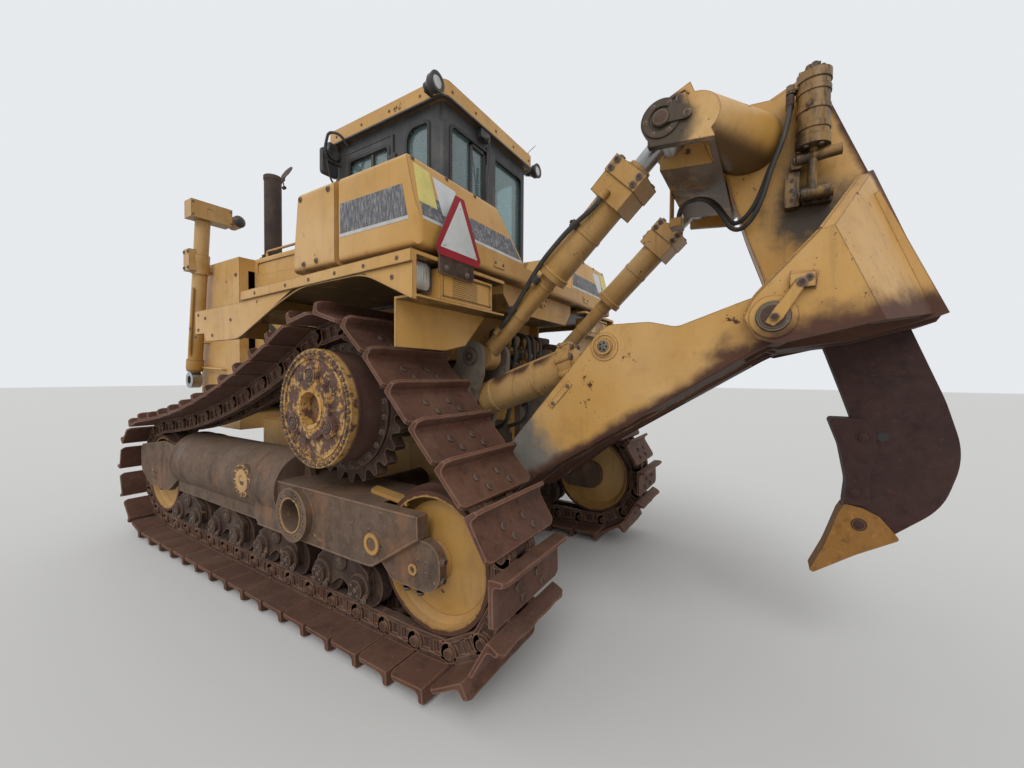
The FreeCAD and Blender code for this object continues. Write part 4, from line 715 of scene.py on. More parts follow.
def pin_places():
    """Each pin of the track, as (y, z), evenly spaced along the loop."""
    wheels = [REAR_IDLER, SPROCKET, FRONT_IDLER]
    angles = []
    for i in range(3):
        y0, z0, r0 = wheels[i]
        y1, z1, r1 = wheels[(i + 1) % 3]
        span = math.hypot(y1 - y0, z1 - z0)
        angles.append(math.atan2(z1 - z0, y1 - y0) - math.acos((r0 - r1) / span))
    line = []
    for i in range(3):
        y0, z0, r0 = wheels[i]
        y1, z1, r1 = wheels[(i + 1) % 3]
        span = math.hypot(y1 - y0, z1 - z0)
        dip = math.atan(4 * TRACK_SAG / span)
        start = angles[i - 1] - (dip if i == 2 else 0)
        turn = (angles[i] + (dip if i == 1 else 0) - start) % (2 * math.pi)
        for k in range(200):
            a = start + turn * k / 200
            line.append((y0 + r0 * math.cos(a), z0 + r0 * math.sin(a)))
        a = angles[i] + (dip if i == 1 else 0)
        b = angles[i] - (dip if i == 1 else 0)
        p = (y0 + r0 * math.cos(a), z0 + r0 * math.sin(a))
        q = (y1 + r1 * math.cos(b), z1 + r1 * math.sin(b))
        length = math.hypot(q[0] - p[0], q[1] - p[1])
        u = ((q[0] - p[0]) / length, (q[1] - p[1]) / length)
        depth = length * math.tan(dip) / 4 if i == 1 else 0
        for k in range(200):
            t = k / 200
            drop = 4 * depth * t * (1 - t)
            line.append((p[0] + (q[0] - p[0]) * t - u[1] * drop, p[1] + (q[1] - p[1]) * t + u[0] * drop))
    line.append(line[0])
    steps = [math.dist(a, b) for a, b in zip(line, line[1:])]
    pitch = sum(steps) / SHOE_COUNT
    pins = []
    far = pitch / 2
    walked = 0.0
    for (a, b), step in zip(zip(line, line[1:]), steps):
        while len(pins) < SHOE_COUNT and walked + step >= far:
            t = (far - walked) / step
            pins.append((a[0] + (b[0] - a[0]) * t, a[1] + (b[1] - a[1]) * t))
            far += pitch
        walked += step
    return pins


def shoe_places():
    """For each shoe a call that turns (across, along, out) into a place."""
    pins = pin_places()
    for i, p in enumerate(pins):
        q = pins[(i + 1) % SHOE_COUNT]
        length = math.dist(p, q)
        u = ((q[0] - p[0]) / length, (q[1] - p[1]) / length)
        n = (u[1], -u[0])

        def place(x, s, h, p=p, u=u, n=n):
            return (x, p[0] + u[0] * s + n[0] * h, p[1] + u[1] * s + n[1] * h)
        yield place, length, (0, n[0], n[1])


def shoe_section(length, shorten, chip, lower):
    """The shoe's side outline: curved lip, plate, and a grouser flush with the trailing edge."""
    rear = length - 5
    bar = rear - 26
    tip = 146 - chip - lower
    front = 5 + shorten
    return [
        (front, 59), (front + 1, 70), (front + 7, 79), (front + 20, 80), (bar - 30, 80), (bar - 13, 84),
        (bar - 3, 95), (bar + 1, tip - 6), (bar + 6, tip), (rear - 5, tip), (rear - 1, tip - 5), (rear, 104),
        (rear - 1, 72), (rear - 4, 62), (rear - 10, 59),
    ]


class BuildTracks(bpy.types.Operator):
    """Lay both tracks: shoes with chipped grousers, links, bushings and bolts"""
    bl_idname = "tractor.build_tracks"
    bl_label = "Tracks"

    def execute(self, context):
        sizes = context.scene.tractor_sizes
        stations = [0, 14, 34, 90, 150, 210, 270, 340, 400, 460, 520, 576, 596, 610]
        for side, name in NAMED_SIDES:
            luck = random.Random(11 + side)
            shoes, bolts, links = forms(3)
            for place, length, out in shoe_places():
                rings = []
                depth = sizes.shoe_chips * luck.uniform(0.3, 1.3)
                for k, x in enumerate(stations):
                    ends = min(k, len(stations) - 1 - k)
                    shorten = (22, 9, 0)[ends] if ends < 3 else 0
                    lower = (16, 5, 0)[ends] if ends < 3 else 0
                    chip = luck.uniform(0, depth)
                    section = shoe_section(length, shorten, chip, lower)
                    across = side * (TRACK_X - SHOE_WIDTH / 2 + x)
                    rings.append([place(across, s, h) for s, h in section])
                shoes.loft(rings)
                for dx, share in ((-112, 0.30), (-66, 0.62), (66, 0.30), (112, 0.62)):
                    head = place(side * (TRACK_X + dx), share * (length - 40), 80)
                    bolts.turned(head, out, [(-1, sizes.shoe_bolt), (9, sizes.shoe_bolt),
                                             (14, sizes.shoe_bolt * 0.6)], 12)
                self.add_link(links, place, length, side)
            shoes.done("track_shoes_" + name, "track_steel", "tractor", replaces=["track_" + name])
            bolts.done("shoe_bolts_" + name, "bolt_steel", "tractor")
            links.done("track_links_" + name, "link_steel", "tractor")
        return {"FINISHED"}

    @staticmethod
    def add_link(links, place, length, side):
        """Both links of a shoe: rail, seat, window posts and offset pin ends."""
        def flat(outline, x0, x1):
            links.loft([[place(side * x, s, h) for s, h in outline] for x in (x0, x1)])

        def disc(s, radius, x0, x1, sides=16):
            outline = []
            for k in range(sides):
                a = 2 * math.pi * k / sides
                outline.append((s + radius * math.cos(a), radius * math.sin(a)))
            flat(outline, x0, x1)

        for hand in (-1, 1):
            middle = TRACK_X + hand * 87
            low = middle - 25
            high = middle + 25
            flat([(-30, -64), (length - 36, -64), (length - 30, -40), (-36, -40)], low, high)
            flat([(24, 26), (length - 24, 26), (length - 14, 59), (14, 59)], low - 6, high + 6)
            flat([(38, -44), (length - 38, -44), (length - 42, 32), (42, 32)], middle - 12, middle + 12)
            flat([(length * 0.5 - 16, -44), (length * 0.5 + 16, -44), (length * 0.5 + 16, 32),
                  (length * 0.5 - 16, 32)], low, high)
            inner = sorted((middle - hand * 25, middle))
            outer = sorted((middle, middle + hand * 31))
            disc(0, 50, *inner)
            disc(length, 50, *outer)
            flat([(0, -48), (56, -44), (60, 34), (0, 46)], *inner)
            flat([(length - 60, -44), (length, -48), (length, 46), (length - 56, 34)], *outer)
            disc(0, 27, *sorted((middle + hand * 20, middle + hand * 42)), sides=12)
        disc(0, 35, TRACK_X - 64, TRACK_X + 64)


class PaintFrame(bpy.types.Operator):
    """Give each carried-over solid its finish"""
    bl_idname = "tractor.paint_frame"
    bl_label = "Frame finishes"

    def execute(self, context):
        coats = {
            "yellow_panel": [
                "cab_roof", "fuel_tank", "side_boxes", "fenders", "rear_panels", "hood",
                "engine_side_panels", "radiator_guard", "cab_base"],
            "yellow_frame": ["main_frame", "belly_guard", "equalizer_bar"],
            "yellow_wheel": ["idlers"],
            "cheek_steel": ["ripper_mount"],
            "tip_steel": ["ripper_tip"],
            "yellow_lift": ["lift_barrels"],
            "yellow_cylinder": [
                "pitch_barrels", "blade_barrel_left", "blade_barrel_right"],
            "oily_paint": ["pin_puller"],
            "hose_rubber": ["pitch_hoses", "puller_hose_upper", "puller_hose_lower"],
            "yellow_link": ["lower_links"],
            "yellow_carriage": ["ripper_carriage"],
            "hub_paint": ["final_drive_hubs"],
            "frame_steel": ["track_frames"],
            "roller_steel": ["roller_bogies", "track_rollers", "sprockets", "pivot_shaft", "vehicle_plate"],
            "shank_steel": ["ripper_shank", "shank_protector"],
            "stack_steel": ["exhaust_stack", "rain_cap"],
            "engine_steel": ["engine_block", "ripper_valve"],
            "pin_steel": ["link_pins", "pitch_base_pins"],
            "chrome": ["pitch_rods", "lift_rods", "blade_rod_left", "blade_rod_right"],
            "cab_black": ["cab_shell", "door_left", "door_right", "cab_lamps", "radiator_grille"],
            "tinted_glass": ["cab_glass"],
            "black_plastic": ["console", "seat", "rear_lamps"],
            "track_steel": ["track_left", "track_right"],
        }
        wanted = set(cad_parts)
        for finish, nodes in coats.items():
            for node in nodes:
                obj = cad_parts[node]
                wanted.discard(node)
                obj.data.materials.append(finishes[finish].material)
                for face in obj.data.polygons:
                    face.material_index = 0
        if wanted:
            raise RuntimeError("no finish for " + ", ".join(sorted(wanted)))
        for name in ("door_left", "door_right"):
            self.glaze_door(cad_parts[name])
        return {"FINISHED"}

    @staticmethod
    def glaze_door(door):
        """Glass on the faces inside the door's window."""
        door.data.materials.append(finishes["tinted_glass"].material)
        y0, y1, z0, z1 = grown(DOOR_WINDOW, 1)
        low = at(0, y0, z0)
        high = at(0, y1, z1)
        for face in door.data.polygons:
            spots = [door.data.vertices[i].co for i in face.vertices]
            inside = all(low.y < p.y < high.y and low.z < p.z < high.z for p in spots)
            if inside and abs(face.normal.x) > 0.9:
                face.material_index = 1


class BuildHubs(bpy.types.Operator):
    """Bolt up the final drive hubs, with plugs and lugs round their rims"""
    bl_idname = "tractor.build_hubs"
    bl_label = "Hubs"

    def execute(self, context):
        count = context.scene.tractor_sizes.hub_bolts
        rims, bolts = forms(2)
        axle = (0, SPROCKET_Z)
        boss = HUB_FACE + 20
        for side in SIDES:
            out = (side, 0, 0)
            rims.hoop((side * HUB_FACE, *axle), out, 286, 302, 8, 64)
            rims.hoop((side * (boss + 2), *axle), out, 97, 118, 6, 40)
            bolts.bolt_ring(side * (HUB_FACE - 1), axle, HUB_BOLT_RING, count, 0, 10.5, 15)
            for y, z, a in ring_of(axle, HUB_BOLT_RING, count, 180 / count):
                rims.turned((side * (HUB_FACE - 2), y, z), out, [(0, 8.5), (14, 7)], 8)
            for y, z, a in ring_of(axle, 190, 3, 90):
                rims.hoop((side * (boss + 2), y, z), out, 40, 54, 6, 24)
                bolts.turned((side * boss, y, z), out, [(0, 30), (9, 30), (9, 12), (16, 12)], 16)
                bolts.bolt_ring(side * (boss + 1), (y, z), 44, 3, math.degrees(a), 6, 8, False, False)
            for degrees, far in ((52, 200), (30, 226), (8, 150), (128, 212), (248, 205)):
                a = math.radians(degrees)
                place = (far * math.cos(a), SPROCKET_Z + far * math.sin(a))
                bolts.bolt((side * (HUB_FACE - 2), *place), out, 13, 14)
                rims.hoop((side * (HUB_FACE - 1), *place), out, 20, 27, 6, 20)
            bolts.bolt_ring(side * boss, axle, 146, 9, 12, 8, 9, spin=False)
            for y, z, a in ring_of(axle, 30, 4, 20):
                bolts.turned((side * (HUB_FACE - 46), y, z), out, [(0, 6), (6, 6)], 10)
            bolts.bolt_ring(side * (TRACK_X + 64), axle, 362, 25, 7, 13, 16, spin=False)
        rims.done("hub_rims", "hub_paint", "tractor", bevel=1.5)
        bolts.done("hub_bolts", "bolt_steel", "tractor")
        return {"FINISHED"}


# Outlines and places that several steps share
LINK_HINGE = (620.0, 740.0)
LINK_PIN = (2235.0, 1805.0)
PITCH_BASE = (585.0, 1676.0)
PITCH_PIN = (1755.0, 2820.0)
LIFT_BASE = (502.0, 1360.0)
LIFT_PIN = (1500.0, 1708.0)
CYLINDER_X = 517.5
BLADE_CYLINDER_X = 762
HUB_FACE = 1397
HUB_BOLT_RING = 325
FRAME_SIDE = 1330
FRAME_COVER = (-915, 800)
TRUNNION = (-275, 680)
CAB_SIDE = 580
DOOR_WINDOW = (-784, -291, 2680, 3344)
SIDE_WINDOW = (-120, 130, 2680, 3400)
REAR_WINDOW = (32, 505, 2420, 3380)
GUARD_SIDE = 655
GUARD_FRONT = -3400
LINK_SIDE = 735
LINK_INNER = 300
WING_SIDE = 790
HORN_SIDE = 675
PULLER = (242, 2390)
VALVE_SHELF = 1645
CASE_REAR = 352
LAMP_CENTRE = (1316, 2040)
HOOD_SIDE = 500
HOOD_TOP = 2800
TANK_TOP = 2635
BOX_FACE_X = 1380.0
LIP_X = 1442.0
DECK_FRONT = (-740.0, 2097.0)
DECK_REAR = (830.0, 2137.0)
TANK_CREASE = (813.0, 2300.0)
TANK_RIM = (728.0, 2635.0)
SKIRT_X = 1430.0
RECOIL_Z = 775
ROLLER_COUNT = 8
ROLLER_Z = 339.8
ROLLER_FIRST = -2200.0
ROLLER_STEP = 2470.0 / 7


def deck_at(y):
    """Height of the fender's deck at a place along it."""
    share = (y - DECK_FRONT[0]) / (DECK_REAR[0] - DECK_FRONT[0])
    return DECK_FRONT[1] + (DECK_REAR[1] - DECK_FRONT[1]) * share


def on_slope(x, z, lift=0.0):
    """A place on the tank's sloping rear face, lifted off it by so much."""
    share = (z - TANK_CREASE[1]) / (TANK_RIM[1] - TANK_CREASE[1])
    y = TANK_CREASE[0] + (TANK_RIM[0] - TANK_CREASE[0]) * share
    return (x, y + lift * 0.969, z + lift * 0.246)


def soft_box(u0, u1, v0, v1, radius, steps=6):
    """Outline of a rectangle with rounded corners; radius may be one value or one for each corner."""
    radii = radius if isinstance(radius, tuple) else (radius,) * 4
    outline = []
    for k, (u, v) in enumerate(((u1, v1), (u0, v1), (u0, v0), (u1, v0))):
        r = radii[k]
        cu = u - r if u == u1 else u + r
        cv = v - r if v == v1 else v + r
        for i in range(steps + 1):
            a = math.pi / 2 * (k + i / steps)
            outline.append((cu + r * math.cos(a), cv + r * math.sin(a)))
    return outline


def box_round(u, v, across, up, radius):
    """The same outline round a centre, from its half sizes."""
    return soft_box(u - across, u + across, v - up, v + up, radius)


def grown(outline, by):
    """A box (u0, u1, v0, v1) with each side moved out."""
    return outline[0] - by, outline[1] + by, outline[2] - by, outline[3] + by


def line_of(start, end):
    """Direction and length from one pin to another, both as (y, z)."""
    way = Vector((0, end[0] - start[0], end[1] - start[1]))
    return way.normalized(), way.length


def beside(start, end, s, n, x):
    """A place at s along a cylinder and n above its axis."""
    u, _ = line_of(start, end)
    return (x, start[0] + u.y * s - u.z * n, start[1] + u.z * s + u.y * n)


class DressTrackFrames(bpy.types.Operator):
    """Bolt the covers, plugs and clamps on the track frames and run their welds"""
    bl_idname = "tractor.dress_track_frames"
    bl_label = "Track frames"

    def execute(self, context):
        covers, bolts, welds, pads = forms(4)
        for side in SIDES:
            out = (side, 0, 0)
            self.add_covers(covers, bolts, side, out)
            self.add_fork_ends(covers, bolts, side, out)
            pads.slab(sided(side, [(1171, 220), (1239, 594), (1164, 560), (1096, 186)]), "z", 848, 874)
            pads.block(*span(side, 1120, 1260), -690, -560, 846, 858)
            bolts.bolts(sided(side, [(1134, -676, 858), (1246, -676, 858), (1134, -574, 858),
                                     (1246, -574, 858)]), (0, 0, 1), 9)
            for seam in ([(-775, 600), (-775, 785), (-560, 846), (745, 846)],
                         [(-760, 516), (240, 516), (420, 520), (755, 735)]):
                welds.pipe(on_plane(side * FRAME_SIDE, seam), 7, 8, 30)
            for y in (-2190, -1990, -830):
                place = (side * TRACK_X, y, RECOIL_Z)
                welds.turned(place, (0, 1, 0), [(0, 243), (6, 247), (20, 247), (26, 243)], 48)
            for x, z, a in ring_of((0, 0), 190, 12, 15):
                place = (side * TRACK_X + side * x, -2259, RECOIL_Z + z)
                bolts.bolt(place, (0, -1, 0), 12, spin=a)
        covers.done("frame_covers", "yellow_hub", "tractor", bevel=1.5)
        bolts.done("frame_bolts", "bolt_steel", "tractor")
        welds.done("frame_welds", "frame_steel", "tractor")
        pads.done("frame_pads", "yellow_panel", "tractor", bevel=2)
        return {"FINISHED"}

    @staticmethod
    def add_covers(covers, bolts, side, out):
        """The lobed cover ahead of the box, the trunnion's rings and the plug behind it."""
        face = FRAME_SIDE + 30
        covers.turned((side * face, *FRAME_COVER), out, [(0, 84), (7, 84), (9, 78), (9, 40), (4, 34)], 40)
        for y, z, a in ring_of(FRAME_COVER, 99, 10, 8):
            covers.turned((side * face, y, z), out, [(0, 20), (5, 20), (7, 16)], 16)
            bolts.bolt((side * (face + 6), y, z), out, 8.5, 9, washer=False, spin=a)
        covers.hoop((side * (FRAME_SIDE + 51), *TRUNNION), out, 101, 112, 5, 56)
        covers.hoop((side * (FRAME_SIDE + 46), *TRUNNION), out, 158, 167, 4, 56)
        covers.hoop((side * (FRAME_SIDE + 17), 440, 650), out, 34, 60, 4, 32)
        bolts.bolts(on_plane(side * (FRAME_SIDE + 1), ((513, 648), (402, 712), (500, 815))), out, 9)

    @staticmethod
    def add_fork_ends(covers, bolts, side, out):
        face = TRACK_X + 180
        middle = side * (TRACK_X + 155)
        covers.hoop((side * face, 707, 567), out, 16, 31, 7, 24)
        bolts.turned((side * face, 707, 567), out, [(-1, 14), (4, 14)], 12)
        for way, places in (((0, 0, -1), ((640, 450), (735, 450))), ((0, 1, 0), ((878, 545), (884, 640))),
                            ((0, 0, -1), ((-2790, 520), (-2620, 474))),
                            ((0, -1, 0), ((-3066, 700), (-3066, 780)))):
            bolts.bolts(on_plane(middle, places), way, 17, 20)
        for centre in (REAR_IDLER[:2], FRONT_IDLER[:2]):
            bolts.bolt_ring(side * face, centre, 38, 4, 45, 9)


class DressRollers(bpy.types.Operator):
    """Collars, end caps and bolts of the track rollers and their bogies"""
    bl_idname = "tractor.dress_rollers"
    bl_label = "Rollers"

    def execute(self, context):
        collars, bolts = forms(2)
        face = TRACK_X + 158
        pivot_z = ROLLER_Z + 112
        for side in SIDES:
            out = (side, 0, 0)
            for i in range(ROLLER_COUNT):
                y = ROLLER_FIRST + ROLLER_STEP * i
                collars.turned((side * face, y, ROLLER_Z), out, [(-2, 84), (14, 84), (20, 76), (20, 60)],
                               32)
                collars.slab([(y - 62, ROLLER_Z - 74), (y + 62, ROLLER_Z - 74), (y + 74, ROLLER_Z - 20),
                              (y - 74, ROLLER_Z - 20)], "x", *span(side, face - 2, face + 26))
                for shift in (-58, 58):
                    bolts.bolt((side * (face + 26), y + shift, ROLLER_Z - 46), out, 14, 15)
                bolts.bolt_ring(side * (face + 42), (y, ROLLER_Z), 36, 4, 45, 7, 6, washer=False)
                bolts.turned((side * (face + 41), y, ROLLER_Z), out, [(0, 15), (5, 12)], 6)
                if i % 2 == 0:
                    pivot = y + ROLLER_STEP / 2
                    collars.turned((side * face, pivot, pivot_z), out,
                                   [(-2, 56), (12, 56), (18, 44), (14, 26)], 28)
                    bolts.bolt((side * (face + 12), pivot, pivot_z), out, 15, 14)
        collars.done("roller_collars", "roller_steel", "tractor", bevel=3)
        bolts.done("roller_bolts", "bolt_steel", "tractor")
        return {"FINISHED"}


class DressFenders(bpy.types.Operator):
    """Bolts of the fender lips and skirts, tread bars on the decks and edge folds"""
    bl_idname = "tractor.dress_fenders"
    bl_label = "Fenders"

    def execute(self, context):
        bolts, treads, folds = forms(3)
        for side in SIDES:
            out = (side, 0, 0)
            for y in (-560, -208, 28, 265, 498, 738):
                bolts.turned((side * LIP_X, y, deck_at(y) - 31), out, [(-1, 12), (1, 12), (2.5, 9)], 12)
            for y, z in ((692, 2022), (-905, 1925), (-1290, 1960), (-1405, 1990), (-1180, 1830),
                         (-1405, 1880)):
                bolts.turned((side * SKIRT_X, y, z), out, [(-1, 12), (3, 12), (6, 9)], 12)
            for i in range(11):
                y = -705 + i * 42
                odd = i % 2
                for x in (760, 900, 1040, 1180, 1320):
                    self.add_tread(treads, side, x + 34 * odd, y, deck_at(y) - 1, 4, 7.2 if odd else -7.2)
            for i in range(9):
                y = -1420 + i * 75
                z = 2020 + (y + 1460) * 10 / 720
                for x in (740, 880, 1020, 1160, 1300):
                    self.add_tread(treads, side, x, y, z - 1, 5, 0)
            folds.pipe(on_plane(side * SKIRT_X, [(828, 1912), (490, 2063), (-60, 2056), (-330, 1975),
                                                 (-800, 1792), (-1270, 1792)]), 5, 8, 90)
            folds.pipe(on_plane(side * (LIP_X - 2), [(-738, 2040), (828, 2080)]), 4, 6)
        bolts.done("fender_bolts", "bolt_steel", "tractor")
        treads.done("deck_treads", "yellow_frame", "tractor", bevel=1)
        folds.done("fender_folds", "yellow_panel", "tractor")
        return {"FINISHED"}

    @staticmethod
    def add_tread(treads, side, x, y, z, rise, skew):
        """A short bar on the deck, turned so that its ends stand skew apart."""
        half = 27
        outline = [(x - half, y - skew - 4), (x + half, y + skew - 4), (x + half, y + skew + 4),
                   (x - half, y - skew + 4)]
        treads.slab(sided(side, outline), "z", z, z + rise)


class DressBoxes(bpy.types.Operator):
    """Bare bands and plates on the tank and boxes, with their caps, latches and bolts"""
    bl_idname = "tractor.dress_boxes"
    bl_label = "Tank and boxes"

    def execute(self, context):
        bands, lines, plates, warnings, fittings, bolts = forms(6)
        for side in SIDES:
            near, far = span(side, BOX_FACE_X - 1, BOX_FACE_X + 1.5)
            bands.slab([(228, 2323), (228, 2484), (706, 2481), (744, 2323)], "x", near, far)
            lines.slab([(222, 2303), (222, 2321), (746, 2321), (752, 2303)], "x", near, far)
            self.add_on_slope(bands, side, [(1342, 2323), (1342, 2446), (506, 2446), (430, 2323)])
            self.add_on_slope(lines, side, [(1344, 2303), (1344, 2321), (428, 2321), (420, 2303)])
            self.add_on_slope(warnings, side, [(1352, 2390), (1340, 2592), (1232, 2584), (1222, 2390)], 2.2)
            self.add_on_slope(plates, side, [(1188, 2372), (1212, 2572), (1034, 2560), (1060, 2372)], 2.2)
            bolts.bolts(on_plane(side * BOX_FACE_X, ((-117, 2204), (7, 2209), (-150, 2590), (120, 2590))),
                        (side, 0, 0), 12)
            cap = [(0, 70), (18, 70), (18, 82), (44, 82), (50, 74)]
            fittings.turned((side * 980, 470, TANK_TOP - 1), (0, 0, 1), cap, 32)
            fittings.block(*span(side, 968, 992), 392, 548, TANK_TOP + 45, TANK_TOP + 61)
            bolts.bolts(sided(side, [(x, y, TANK_TOP) for x, y in ((820, 320), (1240, 320), (820, 640),
                                                                   (1240, 640))]), (0, 0, 1), 12)
            bolts.bolts([on_slope(side * x, 2612) for x in (1340, 1090, 840)], (0, 0.969, 0.246), 9)
            fittings.slab(sided(side, [(640, 2210), (760, 2210), (760, 2262), (640, 2262)]), "y", 812, 818)
            bolts.bolts(sided(side, [(658, 818, 2236), (742, 818, 2236)]), (0, 1, 0), 7)
        self.add_sump_drain(fittings, bolts)
        bands.done("bare_bands", "bare_band", "tractor", bevel=0.6)
        lines.done("pale_lines", "pale_line", "tractor")
        plates.done("blank_plates", "pale_plate", "tractor", bevel=0.6)
        warnings.done("blank_warning_plates", "warning_yellow", "tractor", bevel=0.6)
        fittings.done("tank_fittings", "yellow_panel", "tractor", bevel=2)
        bolts.done("box_bolts", "bolt_steel", "tractor")
        return {"FINISHED"}

    @staticmethod
    def add_on_slope(form, side, corners, lift=1.5):
        form.loft([[on_slope(side * x, z, rise) for x, z in corners] for rise in (-1, lift)])

    @staticmethod
    def add_sump_drain(fittings, bolts):
        fittings.turned((0, 739, 2130), (0, 1, 0), [(0, 58), (10, 58), (12, 50)], 28)
        for x, z, a in ring_of((0, 2130), 44, 6):
            bolts.bolt((x, 750, z), (0, 1, 0), 7, washer=False, spin=a)
        fittings.turned((180, 620, 1986), (0, 0, -1), [(0, 40), (14, 40), (14, 22), (34, 22)], 20)


class DressLamps(bpy.types.Operator):
    """Lenses, grilles and the warning triangle at the rear"""
    bl_idname = "tractor.dress_lamps"
    bl_label = "Lamps and triangle"

    def execute(self, context):
        lenses, hole_shade, bolts, rims = forms(4)
        lamp_x, lamp_z = LAMP_CENTRE
        for side in SIDES:
            steps = ((56, 68, 771), (54, 66, 777), (46, 58, 782), (30, 40, 785), (12, 18, 786))
            lenses.loft([[(u, y, v) for u, v in box_round(side * lamp_x, lamp_z, a, b, min(a, b) * 0.55)]
                         for a, b, y in steps])
            rims.border(box_round(side * lamp_x, lamp_z, 63, 75, 36),
                        box_round(side * lamp_x, lamp_z, 55, 67, 29), "y", 771, 779)
            # Painted shade: the grille's perforations are dark discs laid on its face.
            for i in range(19):
                for k in range(11):
                    place = (side * (934 + i * 11.2 + 5.6 * (k % 2)), 824.6, 1964 + k * 10.4)
                    hole_shade.turned(place, (0, 1, 0), [(0, 3.7), (0.9, 3.7)], 6)
            bolts.bolts([(side * u, 829, v) for u, v in ((812, 1956), (1220, 1956), (812, 2074),
                                                         (1220, 2074))], (0, 1, 0), 6)
            for height in (1960, 2108):
                rims.block(*span(side, 1244, 1256), 700, 722, height, height + 12)
            self.add_roof_lamp(lenses, rims, side)
        for x, z in ((1209, 2094), (1044, 2090)):
            bolts.turned((x, 839, z), (0, 1, 0), [(-1, 17), (3, 17), (3, 11), (10, 11), (12, 8)], 14)
        lenses.done("lamp_lenses", "lamp_lens", "tractor")
        hole_shade.done("grille_hole_shade", "seal_rubber", "tractor")
        rims.done("lamp_rims", "black_plastic", "tractor", bevel=1)
        bolts.done("lamp_bolts", "pin_steel", "tractor")
        self.add_triangle()
        return {"FINISHED"}

    @staticmethod
    def add_roof_lamp(lenses, rims, side):
        x = side * 702
        lenses.turned((x, 308, 3520), (0, 1, 0), [(0, 46), (3, 46), (6, 36), (8, 18)], 28)
        rims.hoop((x, 305, 3520), (0, 1, 0), 45, 66, 12, 32)
        front = side * 650
        lenses.turned((front, -979, 3400), (0, -1, 0), [(0, 46), (5, 46), (11, 30), (13, 10)], 24)
        rims.hoop((front, -977, 3400), (0, -1, 0), 46, 54, 10, 28)

    @staticmethod
    def add_triangle():
        edge = Form()
        edge.slab([(928, 2190), (950, 2150.5), (1270, 2150.5), (1292, 2190), (1143.5, 2479.5),
                   (1076.5, 2479.5)], "y", 843.5, 845.5)
        edge.done("triangle_edge", "red_edge", "tractor", bevel=0.5)
        centre = Form()
        centre.slab([(962, 2190), (1258, 2190), (1110, 2462)], "y", 845, 847)
        centre.done("triangle_centre", "pale_plate", "tractor", bevel=0.5)
        rivets = Form()
        for x, z in ((982, 2200), (1236, 2200), (1222, 2206), (1110, 2420)):
            rivets.turned((x, 846.5, z), (0, 1, 0), [(0, 4), (1.5, 3)], 8)
        rivets.done("triangle_rivets", "bolt_steel", "tractor")


